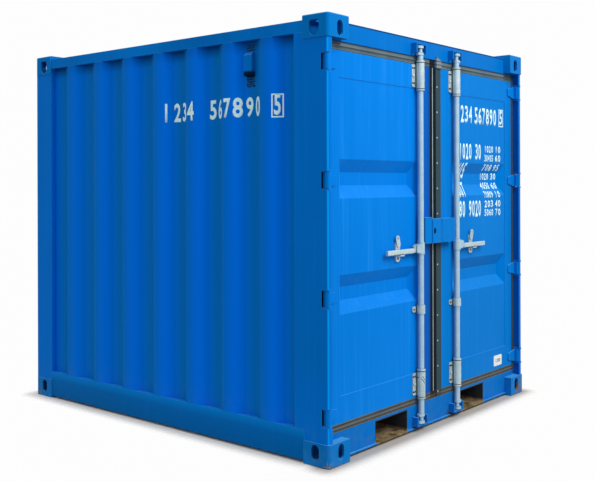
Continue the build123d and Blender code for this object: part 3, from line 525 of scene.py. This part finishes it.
dress(["side_wall_left", "side_wall_right", "rear_wall", "vent_hoods"], wall_paint())
dress(["roof"], painted_steel("blue paint, roof", RAIL_PAINT, RAIL_FADED, 0.0))


# Figures on the left wall
# White stencilled figures, plain digits only, sprayed over the corrugations in a thin film, so each
# stroke follows the bends of the sheet.

FILM = 0.0004
STENCIL_REACH = 0.05
STRIP = 0.008
SIDE_FIGURE_LOW = 1.768
SIDE_FIGURE_HIGH = 1.876
FRAME_LINE = 0.007
CELL_GAP = 0.24
FIGURE_WEIGHT = 0.026
NARROW_CELL = 0.24
SIDE_GROUPS = (("1234", -0.015, -0.276), ("567890", -0.370, -0.762), ("5", -0.861, -0.894))
SIDE_BOX = (0.060, 0.124)
SIDE_BOX_START = -0.848
SIDE_BOX_DROP = 0.013
SIDE_REACH = (-0.936, -0.014)


def stencil_paint():
    """Matt white paint with thin spots where the steel's colour grins through."""
    material, tree = new_finish("white stencil paint")
    place = add(tree, "TexCoord", out="Object")
    cloud = add(tree, "TexNoise", {"Vector": place, "Scale": 30.0, "Detail": 5.0, "Roughness": 0.6})
    thin = add(tree, "MapRange", {"Value": cloud, "From Min": 0.55, "From Max": 0.8, "To Max": 0.5})
    colour = add(tree, "Mix", {0: thin, 6: linear("DEFFFF"), 7: linear("AADCF0")}, 2, data_type="RGBA")
    shade = add(tree, "BsdfPrincipled", {"Base Color": colour, "Roughness": 0.55})
    add(tree, "OutputMaterial", {"Surface": shade})
    return material


def join(pieces, name):
    """Several meshes as one piece."""
    bpy.ops.object.select_all(action="DESELECT")
    for piece in pieces:
        piece.select_set(True)
    bpy.context.view_layer.objects.active = pieces[0]
    if len(pieces) > 1:
        bpy.ops.object.join()
    bpy.context.object.name = name
    return bpy.context.object


def figures(text, wide, high):
    """A row of stencilled figures, one to a cell, as a flat mesh from the origin."""
    pitch = wide / (len(text) - CELL_GAP)
    row = []
    for cell, figure in enumerate(text):
        if figure == " ":
            continue
        bpy.ops.object.select_all(action="DESELECT")
        bpy.ops.object.text_add()
        mark = bpy.context.object
        mark.data.body = figure
        mark.data.offset = FIGURE_WEIGHT
        mark.data.resolution_u = 3
        bpy.ops.object.convert(target="MESH")
        mark = bpy.context.object
        across = [v.co.x for v in mark.data.vertices]
        up = [v.co.y for v in mark.data.vertices]
        body = pitch * (1 - CELL_GAP) * (NARROW_CELL if figure == "1" else 1.0)
        start = cell * pitch + (pitch * (1 - CELL_GAP) - body) / 2
        stretch = (body / (max(across) - min(across)), high / (max(up) - min(up)))
        mark.scale = (stretch[0], stretch[1], 1)
        mark.location = (start - min(across) * stretch[0], -min(up) * stretch[1], 0)
        bpy.ops.object.transform_apply(location=True, rotation=True, scale=True)
        row.append(mark)
    return join(row, "row")


def line_frame(wide, high, line):
    """Rectangle of painted lines from the origin."""
    bpy.ops.object.select_all(action="DESELECT")
    bpy.ops.mesh.primitive_plane_add(size=1, location=(wide / 2, high / 2, 0))
    box = bpy.context.object
    box.scale = (wide, high, 1)
    bpy.ops.object.transform_apply(location=True, rotation=True, scale=True)
    bpy.ops.object.mode_set(mode="EDIT")
    bpy.ops.mesh.select_all(action="SELECT")
    bpy.ops.mesh.inset(thickness=line)
    bpy.ops.mesh.delete(type="FACE")
    bpy.ops.object.mode_set(mode="OBJECT")
    return box


def stand(piece, place, turn):
    """Stand a flat mesh up, turn it about Z and put its corner at a place."""
    bpy.ops.object.select_all(action="DESELECT")
    piece.select_set(True)
    bpy.context.view_layer.objects.active = piece
    piece.rotation_euler = (math.radians(90), 0, math.radians(turn))
    piece.location = place
    bpy.ops.object.transform_apply(location=True, rotation=True, scale=True)


def cut_in_strips(piece, axis, start, end, strip):
    """Cut a flat mesh into narrow strips, so that it can follow a bent sheet."""
    bpy.ops.object.mode_set(mode="EDIT")
    for step in range(int((end - start) / strip) + 1):
        place = Vector((0, 0, 0))
        place[axis] = start + step * strip
        across = Vector((0, 0, 0))
        across[axis] = 1
        bpy.ops.mesh.select_all(action="SELECT")
        bpy.ops.mesh.bisect(plane_co=place, plane_no=across)
    bpy.ops.object.mode_set(mode="OBJECT")


def thicken(piece, thickness):
    """Give the flat mesh that is active the thickness of a film."""
    film = piece.modifiers.new("film", "SOLIDIFY")
    film.thickness = thickness
    bpy.ops.object.modifier_apply(modifier=film.name)


def wrap_on(piece, sheet, axis, thickness, finish, body):
    """Drop a flat mesh on a shaped CAD piece along X or Y, give it thickness and let it ride."""
    wrap = piece.modifiers.new("on the sheet", "SHRINKWRAP")
    wrap.target = nodes[sheet]
    wrap.wrap_method = "PROJECT"
    wrap.use_project_x = axis == 0
    wrap.use_project_y = axis == 1
    wrap.offset = thickness
    bpy.ops.object.modifier_apply(modifier=wrap.name)
    thicken(piece, thickness)
    piece.data.materials.clear()
    piece.data.materials.append(finish)
    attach(piece, body)


stencil = stencil_paint()
parts = []
for text, start, end in SIDE_GROUPS:
    row = figures(text, start - end, SIDE_FIGURE_HIGH - SIDE_FIGURE_LOW)
    stand(row, (-CREST_FACE - STENCIL_REACH, start, SIDE_FIGURE_LOW), -90)
    parts.append(row)
box = line_frame(*SIDE_BOX, FRAME_LINE)
stand(box, (-CREST_FACE - STENCIL_REACH, SIDE_BOX_START, SIDE_FIGURE_LOW - SIDE_BOX_DROP), -90)
side_figures = join(parts + [box], "side_figures")
cut_in_strips(side_figures, 1, *SIDE_REACH, STRIP)
wrap_on(side_figures, "side_wall_left", 0, FILM, stencil, "container")


# Door leaves
# Frames of tube and pressed panels, sprayed in the same blue with upright brush marks on the panels. The
# free edge of the left leaf, between its lock rod and the seal, is darker, darkest next to the seal.

LEFT_PAINT = "0080E2"
LEFT_FADED = "007CDC"
RIGHT_PAINT = "007CD4"
RIGHT_FADED = "0078CE"
DARKER_EDGE = (-0.150, -0.110)
BLACK_EDGE = (-0.070, -0.030)
leaf_parts = ("door_frame", "door_panel", "door_hinges")
left_paint = painted_steel("blue paint, left door", LEFT_PAINT, LEFT_FADED, 0.08, 0.34)
tree, _, level = open_finish(left_paint)
across = level.node.outputs["X"]
edge_darkening = add(tree, "MapRange", {"Value": across, "From Min": DARKER_EDGE[0], "From Max": DARKER_EDGE[1],
                                "To Max": 0.85})
cover(left_paint, edge_darkening, linear("0054B4"))
black = add(tree, "MapRange", {"Value": across, "From Min": BLACK_EDGE[0], "From Max": BLACK_EDGE[1],
                               "To Max": 0.65})
cover(left_paint, black, linear("002C58"))
dress(["left_" + part for part in leaf_parts], left_paint)
dress(["right_" + part for part in leaf_parts] + ["left_padlock_box", "right_padlock_box"],
      painted_steel("blue paint, right door", RIGHT_PAINT, RIGHT_FADED, 0.08, 0.14))


# Figures on the right door
# The same white stencil paint, plain digits only. Some rows cross the panel's upper swage and are cut in
# strips that follow it.

DOOR_FACE = -1.169
DOOR_BOX = (0.063, 0.115, 0.006)
DOOR_BOX_CORNER = (0.856, 1.781)
UPPER_SWAGE = (1.328, 1.540)
rows = [("1234", 0.290, 0.488, 1.786, 1.893), ("567890", 0.524, 0.820, 1.782, 1.890),
        ("5", 0.868, 0.908, 1.792, 1.886),
        ("1020 30", 0.323, 0.605, 1.557, 1.658), ("405", 0.323, 0.433, 1.439, 1.537),
        ("607", 0.322, 0.421, 1.322, 1.417), ("80 9020", 0.321, 0.603, 1.197, 1.301)]
small_rows = [("1020", "10", 1.606, 1.650), ("30405", "60", 1.548, 1.592), ("708", "95", 1.488, 1.530),
              ("1020", "30", 1.431, 1.474), ("4050", "60", 1.371, 1.414), ("70809", "10", 1.314, 1.358),
              ("203", "40", 1.253, 1.298), ("5060", "70", 1.197, 1.242)]
for amount, unit, low, high in small_rows:
    rows.append((amount, 0.655, 0.774, low, high))
    rows.append((unit, 0.805, 0.879, low, high))
parts = []
for text, left, right, low, high in rows:
    row = figures(text, right - left, high - low)
    stand(row, (left, DOOR_FACE - STENCIL_REACH, low), 0)
    parts.append(row)
box = line_frame(*DOOR_BOX)
stand(box, (DOOR_BOX_CORNER[0], DOOR_FACE - STENCIL_REACH, DOOR_BOX_CORNER[1]), 0)
door_figures = join(parts + [box], "door_figures")
cut_in_strips(door_figures, 2, *UPPER_SWAGE, STRIP)
wrap_on(door_figures, "right_door_panel", 1, FILM, stencil, "right_door")


# Door seals
# Ribbed rubber lips round each leaf, weathered brown-grey and palest along the head; the strips at the
# meeting edge stay dark.

LEAF_MIDDLE = 1.140
LEAF_HALF = 0.950
LEAF_EDGE = 1.028
RIB_PITCH = 0.021
STRIPS_CENTRE = 0.026
STRIPS_HALF = 0.066
MEETING_X = 0.030
FOOT_MUD = (0.150, 0.196)


def seal_rubber():
    """Weathered rubber: dusty ribs at real distances from the leaf's edge, dark strips between leaves."""
    material, tree = new_finish("weathered seal rubber")
    place = add(tree, "TexCoord", out="Object")
    cloud = add(tree, "TexNoise", {"Vector": place, "Scale": 9.0, "Detail": 6.0, "Roughness": 0.6})
    share = add(tree, "MapRange", {"Value": cloud, "From Min": 0.38, "From Max": 0.66})
    colour = add(tree, "Mix", {0: share, 6: linear("2E4450"), 7: linear("4C5C62")}, 2, data_type="RGBA")

    # Distance outside the leaf, past its head, foot or hinge edge
    level = add(tree, "SeparateXYZ", {0: place}, "Z")
    across = level.node.outputs["X"]
    rise = add(tree, "Math", {0: level, 1: LEAF_MIDDLE}, operation="SUBTRACT")
    height = add(tree, "Math", {0: rise}, operation="ABSOLUTE")
    beyond = add(tree, "Math", {0: height, 1: LEAF_HALF}, operation="SUBTRACT")
    wide = add(tree, "Math", {0: across}, operation="ABSOLUTE")
    aside = add(tree, "Math", {0: wide, 1: LEAF_EDGE}, operation="SUBTRACT")
    away = add(tree, "Math", {0: beyond, 1: aside}, operation="MAXIMUM")
    phase = add(tree, "Math", {0: away, 1: 2 * math.pi / RIB_PITCH}, operation="MULTIPLY")
    ribs = add(tree, "Math", {0: phase}, operation="SINE")
    lips = add(tree, "Math", {0: away, 1: -0.004}, operation="GREATER_THAN")
    ribs = add(tree, "Math", {0: ribs, 1: lips}, operation="MULTIPLY")
    pale = add(tree, "MapRange", {"Value": ribs, "From Min": 0.2, "From Max": 1.0, "To Max": 0.4})
    colour = add(tree, "Mix", {0: pale, 6: colour, 7: linear("7C8A90")}, 2, data_type="RGBA")
    outer = add(tree, "MapRange", {"Value": away, "From Max": 0.060, "To Max": 0.55})
    colour = add(tree, "Mix", {0: outer, 6: colour, 7: linear("808C90")}, 2, data_type="RGBA")

    # The hinge edges lie in shade and stay darker
    hinged = add(tree, "Math", {0: aside, 1: 0.0}, operation="GREATER_THAN")
    hinged = add(tree, "Math", {0: hinged, 1: 0.7}, operation="MULTIPLY")
    colour = add(tree, "Mix", {0: hinged, 6: colour, 7: linear("2A3840")}, 2, data_type="RGBA")

    # Dark strips at the meeting edge, and the pale folded corner over them
    centre = add(tree, "Math", {0: across, 1: STRIPS_CENTRE}, operation="SUBTRACT")
    centre = add(tree, "Math", {0: centre}, operation="ABSOLUTE")
    dark = add(tree, "Math", {0: centre, 1: STRIPS_HALF}, operation="LESS_THAN")
    colour = add(tree, "Mix", {0: dark, 6: colour, 7: linear("33474F")}, 2, data_type="RGBA")
    left_strip = add(tree, "Math", {0: across, 1: MEETING_X}, operation="LESS_THAN")
    left_strip = add(tree, "Math", {0: left_strip, 1: dark}, operation="MULTIPLY")
    colour = add(tree, "Mix", {0: left_strip, 6: colour, 7: linear("04080C")}, 2, data_type="RGBA")
    head = add(tree, "Math", {0: rise, 1: LEAF_HALF}, operation="GREATER_THAN")
    fold = add(tree, "Math", {0: head, 1: dark}, operation="MULTIPLY")
    right = add(tree, "Math", {0: across, 1: MEETING_X}, operation="GREATER_THAN")
    fold = add(tree, "Math", {0: fold, 1: right}, operation="MULTIPLY")
    colour = add(tree, "Mix", {0: fold, 6: colour, 7: linear("78868C")}, 2, data_type="RGBA")

    # Mud along the foot
    foot = add(tree, "MapRange", {"Value": level, "From Min": FOOT_MUD[0], "From Max": FOOT_MUD[1],
                                  "To Min": 0.95, "To Max": 0.0})
    specks = add(tree, "TexNoise", {"Vector": place, "Scale": 60.0, "Detail": 5.0, "Roughness": 0.7})
    mud = add(tree, "MapRange", {"Value": specks, "From Min": 0.30, "From Max": 0.55})
    mud = add(tree, "Math", {0: mud, 1: foot}, operation="MULTIPLY")
    colour = add(tree, "Mix", {0: mud, 6: colour, 7: linear("5E523E")}, 2, data_type="RGBA")

    grain = add(tree, "TexNoise", {"Vector": place, "Scale": 300.0})
    fine = add(tree, "Bump", {"Strength": 0.2, "Distance": 0.0008, "Height": grain})
    ribbed = add(tree, "Bump", {"Strength": 0.9, "Distance": 0.003, "Height": ribs, "Normal": fine})
    shade = add(tree, "BsdfPrincipled", {"Base Color": colour, "Roughness": 0.72,
                                         "Specular IOR Level": 0.12, "Normal": ribbed})
    add(tree, "OutputMaterial", {"Surface": shade})
    return material


dress(["left_door_gasket", "right_door_gasket"], seal_rubber())


# Lock gear
# Hot-dip galvanised rods, guides, handles, seats and catches: pale grey zinc with a faint spangle and a
# sandy skin.

def galvanised_steel(name, dull, bright):
    """Zinc skin between two greys."""
    material, tree = new_finish(name)
    place = add(tree, "TexCoord", out="Object")
    spangle = add(tree, "TexVoronoi", {"Vector": place, "Scale": 160.0}, "Color")
    tone = add(tree, "SeparateColor", {0: spangle})
    cloud = add(tree, "TexNoise", {"Vector": place, "Scale": 14.0, "Detail": 4.0})
    mixed = add(tree, "Math", {0: tone, 1: 0.35, 2: cloud}, operation="MULTIPLY_ADD")
    share = add(tree, "MapRange", {"Value": mixed, "From Min": 0.3, "From Max": 1.1})
    colour = add(tree, "Mix", {0: share, 6: linear(dull), 7: linear(bright)}, 2, data_type="RGBA")

    # Painted shade darkens the corners, from ambient occlusion over about 12 mm
    free = add(tree, "AmbientOcclusion", {"Distance": 0.012}, "AO", samples=8)
    corner_shade = add(tree, "MapRange", {"Value": free, "From Min": 0.35, "From Max": 0.80, "To Min": 0.8,
                                    "To Max": 0.0})
    colour = add(tree, "Mix", {0: corner_shade, 6: colour, 7: linear("26343C")}, 2, data_type="RGBA")
    rough = add(tree, "MapRange", {"Value": mixed, "From Max": 1.3, "To Min": 0.36, "To Max": 0.62})
    sand = add(tree, "TexNoise", {"Vector": place, "Scale": 420.0})
    grain = add(tree, "Bump", {"Strength": 0.12, "Distance": 0.0006, "Height": sand})
    shade = add(tree, "BsdfPrincipled", {"Base Color": colour, "Roughness": rough, "Metallic": 0.35,
                                         "Normal": grain})
    add(tree, "OutputMaterial", {"Surface": shade})
    return material


galvanised = galvanised_steel("galvanised steel, castings", "9EB6BC", "CEE0E4")
dress([side + part for side in ("left_", "right_") for part in ("lock_brackets", "catch", "handle")],
      galvanised)
dress(["left_lock_rod", "right_lock_rod"], galvanised_steel("galvanised steel, rods", "94B6CA", "B4D2E2"))


# Screws and rivets
# Each guide plate is held by domed zinc rivets and small blackened screws; zinc screws clamp the flap of
# the seal to the right door.

GUIDE_PLATES = ((1.959, 2.088), (0.204, 0.330))
SCREW_RISE = 0.043
SCREW_OUT = (0.035, 0.051)
RIVET_OUT = 0.043
PLATE_FACE = -1.174
ROD_FACE = -1.194
SLEEVE_RADIUS = 0.0235
PIN_OUT = 0.015
PIN_SUNK = 0.001
ROD_PLACES = {"left_door": -0.184, "right_door": 0.236}
MIDDLE_GUIDE = 0.692
FLAP_FACE = -1.169
FLAP_SCREW_X = 0.044
FLAP_PITCH = 0.150
FLAP_TOP = 1.980
BOX_LOW = 1.064
BOX_HIGH = 1.204
BOX_MARGIN = 0.01


def black_steel_and_shade():
    """Oiled black screw heads, nearly matt; also painted shade for vent holes, gaps and the strap's edges.
    """
    material, tree = new_finish("blackened steel and painted shade")
    place = add(tree, "TexCoord", out="Object")
    cloud = add(tree, "TexNoise", {"Vector": place, "Scale": 220.0})
    colour = add(tree, "Mix", {0: cloud, 6: linear("06090E"), 7: linear("1E2226")}, 2, data_type="RGBA")
    shade = add(tree, "BsdfPrincipled", {"Base Color": colour, "Roughness": 0.8, "Specular IOR Level": 0.1})
    add(tree, "OutputMaterial", {"Surface": shade})
    return material


def round_head(radius, height, tilt=0, turn=0):
    """Domed head with its foot at the origin, facing -Y before it is tilted about X and turned about Z."""
    bpy.ops.object.select_all(action="DESELECT")
    bpy.ops.mesh.primitive_cylinder_add(vertices=16, radius=radius, depth=height,
                                        location=(0, -height / 2, 0), rotation=(math.radians(90), 0, 0))
    bpy.ops.object.transform_apply(location=True, rotation=True, scale=True)
    head = bpy.context.object
    bpy.ops.object.mode_set(mode="EDIT")
    bpy.ops.mesh.select_mode(type="FACE")
    bpy.ops.mesh.select_all(action="DESELECT")
    bpy.ops.object.mode_set(mode="OBJECT")
    for face in head.data.polygons:
        face.select = face.normal.y < -0.9
    bpy.ops.object.mode_set(mode="EDIT")
    bpy.ops.mesh.inset(thickness=radius * 0.35, depth=height * 0.5)
    bpy.ops.mesh.inset(thickness=radius * 0.35, depth=height * 0.2)
    bpy.ops.object.mode_set(mode="OBJECT")
    bpy.ops.object.shade_smooth_by_angle(angle=math.radians(50))
    head.rotation_euler = (math.radians(tilt), 0, math.radians(turn))
    bpy.ops.object.transform_apply(location=True, rotation=True, scale=True)
    return head


def spread(head, name, places, finish, body):
    """Copies of a small part at many places, as one piece."""
    copies = []
    for place in places:
        copy = head.copy()
        copy.data = head.data.copy()
        copy.data.transform(Matrix.Translation(place))
        scene.collection.objects.link(copy)
        copies.append(copy)
    piece = join(copies, name)
    piece.data.materials.append(finish)
    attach(piece, body)


blackened = black_steel_and_shade()
screw = round_head(0.0050, 0.0025)
rivet = round_head(0.0090, 0.0045)
for body, rod_x in ROD_PLACES.items():
    screw_places = [(rod_x + side * RIVET_OUT, PLATE_FACE, MIDDLE_GUIDE) for side in (-1, 1)]
    rivet_places = []
    pin_y = ROD_FACE - math.sqrt(SLEEVE_RADIUS ** 2 - PIN_OUT ** 2) + PIN_SUNK
    for low, high in GUIDE_PLATES:
        middle = (low + high) / 2
        rivet_places.append((rod_x - RIVET_OUT, PLATE_FACE, middle))
        for rise in (-SCREW_RISE, SCREW_RISE):
            for out in (-SCREW_OUT[0], -SCREW_OUT[1], SCREW_OUT[1]):
                screw_places.append((rod_x + out, PLATE_FACE, middle + rise))
            screw_places.append((rod_x + PIN_OUT, pin_y, middle + rise))
    spread(screw, body + "_guide_screws", screw_places, blackened, body)
    spread(rivet, body + "_guide_rivets", rivet_places, galvanised, body)
levels = [FLAP_TOP - step * FLAP_PITCH for step in range(13)]
flap_places = [(FLAP_SCREW_X, FLAP_FACE, z) for z in levels
               if not BOX_LOW - BOX_MARGIN <= z <= BOX_HIGH + BOX_MARGIN]
spread(screw, "flap_screws", flap_places, galvanised, "right_door")
bpy.data.objects.remove(screw)
bpy.data.objects.remove(rivet)


# Collars of the lock rods
# Turned zinc rings on the rods above and below each long guide, with a thin black ring as painted shade
# in the gap where the ring meets the sleeve.

COLLAR_RADIUS = 0.0245
COLLAR_HIGH = 0.011
GAP_HIGH = 0.003
SLEEVE_ENDS = ((1.951, -1), (2.096, 1), (0.338, 1), (0.196, -1))


def ring(radius, high, wall, edge):
    """Ring about Z at the origin with rounded rims."""
    bpy.ops.object.select_all(action="DESELECT")
    bpy.ops.mesh.primitive_cylinder_add(vertices=32, radius=radius, depth=high, end_fill_type="NOTHING")
    band = bpy.context.object
    for kind, name, value in (("SOLIDIFY", "thickness", wall), ("BEVEL", "width", edge)):
        step = band.modifiers.new(kind.lower(), kind)
        setattr(step, name, value)
        bpy.ops.object.modifier_apply(modifier=step.name)
    bpy.ops.object.shade_smooth_by_angle(angle=math.radians(40))
    return band


collar = ring(COLLAR_RADIUS, COLLAR_HIGH, 0.0065, 0.0022)
gap_shade = ring(COLLAR_RADIUS - 0.0006, GAP_HIGH, 0.0055, 0.0003)
for body, rod_x in ROD_PLACES.items():
    rod_body = body.replace("door", "lock_rod")
    collars = [(rod_x, ROD_FACE, z + way * (GAP_HIGH + COLLAR_HIGH / 2)) for z, way in SLEEVE_ENDS]
    gaps = [(rod_x, ROD_FACE, z + way * GAP_HIGH / 2) for z, way in SLEEVE_ENDS]
    spread(collar, rod_body + "_collars", collars, galvanised, rod_body)
    spread(gap_shade, rod_body + "_gap_shade_rings", gaps, blackened, rod_body)
bpy.data.objects.remove(collar)
bpy.data.objects.remove(gap_shade)


# Strap of the left bottom guide
# A narrow zinc strap bent over the sleeve, from its upper left down to its right side, with a wider black
# band under it as painted shade along its edges.

STRAP_TOP = (-0.018, 0.306)
STRAP_BEND = (0.015, 0.262)
STRAP_FOOT = 0.204


def strap(name, width, thickness, finish):
    """Bent band on the sleeve: a slanting run and an upright one."""
    run = STRAP_BEND[0] - STRAP_TOP[0]
    fall = STRAP_TOP[1] - STRAP_BEND[1]
    runs = []
    slanting = ((STRAP_TOP[0] + STRAP_BEND[0]) / 2, (STRAP_TOP[1] + STRAP_BEND[1]) / 2)
    upright = (STRAP_BEND[0], (STRAP_BEND[1] + STRAP_FOOT) / 2)
    for length, tilt, middle in ((math.hypot(run, fall), math.atan2(run, fall), slanting),
                                 (STRAP_BEND[1] - STRAP_FOOT, 0, upright)):
        bpy.ops.object.select_all(action="DESELECT")
        bpy.ops.mesh.primitive_plane_add(size=1)
        band = bpy.context.object
        band.scale = (width, length + width / 2, 1)
        bpy.ops.object.transform_apply(location=True, rotation=True, scale=True)
        band.rotation_euler = (0, 0, tilt)
        band.location = (middle[0], middle[1], 0)
        bpy.ops.object.transform_apply(location=True, rotation=True, scale=True)
        runs.append(band)
    band = join(runs, name)
    rod_x = ROD_PLACES["left_door"]
    stand(band, (rod_x, DOOR_FACE - STENCIL_REACH * 2, 0), 0)
    cut_in_strips(band, 0, rod_x - SLEEVE_RADIUS, rod_x + SLEEVE_RADIUS, 0.003)
    wrap_on(band, "left_lock_brackets", 1, thickness, finish, "left_door")


# The wider black band is painted shade round the strap
strap("left_guide_strap_shade", 0.0150, 0.0003, blackened)
strap("left_guide_strap", 0.0085, 0.0007, galvanised)


# Retainer strip of the centre seal
# A flat zinc strip that clamps the seal to the free edge of the left door, seen as a light line.

RETAINER_PLACE = (-0.001, -1.166, 1.140)
RETAINER_SIZE = (0.005, 0.002, 1.900)

bpy.ops.object.select_all(action="DESELECT")
bpy.ops.mesh.primitive_cube_add(size=1, location=RETAINER_PLACE, scale=RETAINER_SIZE)
strip = bpy.context.object
strip.name = "seal_retainer"
bpy.ops.object.transform_apply(location=True, rotation=True, scale=True)
bpy.ops.object.mode_set(mode="EDIT")
bpy.ops.mesh.select_all(action="SELECT")
bpy.ops.mesh.bevel(offset=0.0006, segments=1)
bpy.ops.object.mode_set(mode="OBJECT")
strip.data.materials.append(galvanised)
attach(strip, "left_door")


# Label on the right door
# A white film label with rounded corners and one plain number, stuck on near the foot of the leaf.

LABEL_X = (0.772, 0.884)
LABEL_Z = (0.212, 0.280)
LABEL_FILM = 0.0004
LABEL_NUMBER = 0.066
LABEL_CORNER = 0.008

bpy.ops.object.select_all(action="DESELECT")
bpy.ops.mesh.primitive_plane_add(size=1)
label = bpy.context.object
label.name = "blank_label"
label.scale = (LABEL_X[1] - LABEL_X[0], LABEL_Z[1] - LABEL_Z[0], 1)
bpy.ops.object.transform_apply(location=True, rotation=True, scale=True)
bpy.ops.object.mode_set(mode="EDIT")
bpy.ops.mesh.select_all(action="SELECT")
bpy.ops.mesh.bevel(offset=LABEL_CORNER, segments=3, affect="VERTICES")
bpy.ops.object.mode_set(mode="OBJECT")
stand(label, (sum(LABEL_X) / 2, FLAP_FACE - LABEL_FILM, sum(LABEL_Z) / 2), 0)
thicken(label, LABEL_FILM)
material, tree = new_finish("white film label")
place = add(tree, "TexCoord", out="Object")
cloud = add(tree, "TexNoise", {"Vector": place, "Scale": 40.0, "Detail": 3.0})
share = add(tree, "MapRange", {"Value": cloud, "From Min": 0.5, "From Max": 0.8, "To Max": 0.4})
colour = add(tree, "Mix", {0: share, 6: linear("EEF0F0"), 7: linear("C8CCCC")}, 2, data_type="RGBA")
shade = add(tree, "BsdfPrincipled", {"Base Color": colour, "Roughness": 0.4})
add(tree, "OutputMaterial", {"Surface": shade})
label.data.materials.append(material)
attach(label, "right_door")

number = figures("1230", LABEL_NUMBER, LABEL_NUMBER / 3)
stand(number, (sum(LABEL_X) / 2 - LABEL_NUMBER / 2, FLAP_FACE - 2 * LABEL_FILM,
               sum(LABEL_Z) / 2 - LABEL_NUMBER / 6), 0)
number.name = "label_number"
thicken(number, LABEL_FILM / 2)
number.data.materials.clear()
number.data.materials.append(blackened)
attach(number, "right_door")


# Vent holes
# Rows of small holes above and under each vent hood, shown as thin black discs on the sheet: painted shade
# for the holes.

VENT_PITCH = 0.012
VENT_ROWS = (2.150, 2.138, 2.126, 1.970, 1.958, 1.946, 1.934)

for side, turn, name in ((-1, -90, "left"), (1, 90, "right")):
    hole = round_head(0.0045, 0.0006, 0, turn)
    places = []
    for row, level in enumerate(VENT_ROWS):
        for step in range(-2, 3):
            across = (step + (row % 2) / 2 - 0.25) * VENT_PITCH
            places.append((side * VALLEY_FACE, VENT_Y + across, level))
    spread(hole, name + "_vent_holes", places, blackened, "container")
    bpy.data.objects.remove(hole)


# Plywood floor
# Two sealed red-brown plywood boards side by side, their grain along the container, screwed down to
# the cross members in rows and with a dark joint between them.

JOINT_HALF = 0.0015
SCREW_ROWS = 7
ROW_INSET = 0.06
SCREW_COLUMNS = (-0.98, -0.66, -0.33, -0.03, 0.03, 0.33, 0.66, 0.98)

material, tree = new_finish("sealed plywood")
place = add(tree, "TexCoord", out="Object")
along = add(tree, "Mapping", {"Vector": place, "Scale": (140.0, 4.0, 140.0)})
grain = add(tree, "TexNoise", {"Vector": along, "Scale": 1.0, "Detail": 6.0, "Roughness": 0.6})
share = add(tree, "MapRange", {"Value": grain, "From Min": 0.3, "From Max": 0.7})
colour = add(tree, "Mix", {0: share, 6: linear("64432C"), 7: linear("8E6848")}, 2, data_type="RGBA")
cloud = add(tree, "TexNoise", {"Vector": place, "Scale": 2.5, "Detail": 4.0})
worn = add(tree, "MapRange", {"Value": cloud, "From Min": 0.45, "From Max": 0.75, "To Max": 0.45})
colour = add(tree, "Mix", {0: worn, 6: colour, 7: linear("A89078")}, 2, data_type="RGBA")
across = add(tree, "SeparateXYZ", {0: place}, "X")
across = add(tree, "Math", {0: across}, operation="ABSOLUTE")
joint = add(tree, "Math", {0: across, 1: JOINT_HALF}, operation="LESS_THAN")
colour = add(tree, "Mix", {0: joint, 6: colour, 7: linear("1C140E")}, 2, data_type="RGBA")
bump = add(tree, "Bump", {"Strength": 0.2, "Distance": 0.0006, "Height": grain})
shade = add(tree, "BsdfPrincipled", {"Base Color": colour, "Roughness": 0.62, "Normal": bump})
add(tree, "OutputMaterial", {"Surface": shade})
dress(["floor"], material)

floor_low, floor_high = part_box("floor")
screw = round_head(0.0060, 0.0015, -90)
rows = [floor_low[1] + ROW_INSET + row * (floor_high[1] - floor_low[1] - 2 * ROW_INSET) / (SCREW_ROWS - 1)
        for row in range(SCREW_ROWS)]
spread(screw, "floor_screws", [(x, y, floor_high[2]) for x in SCREW_COLUMNS for y in rows], galvanised,
       "container")
bpy.data.objects.remove(screw)
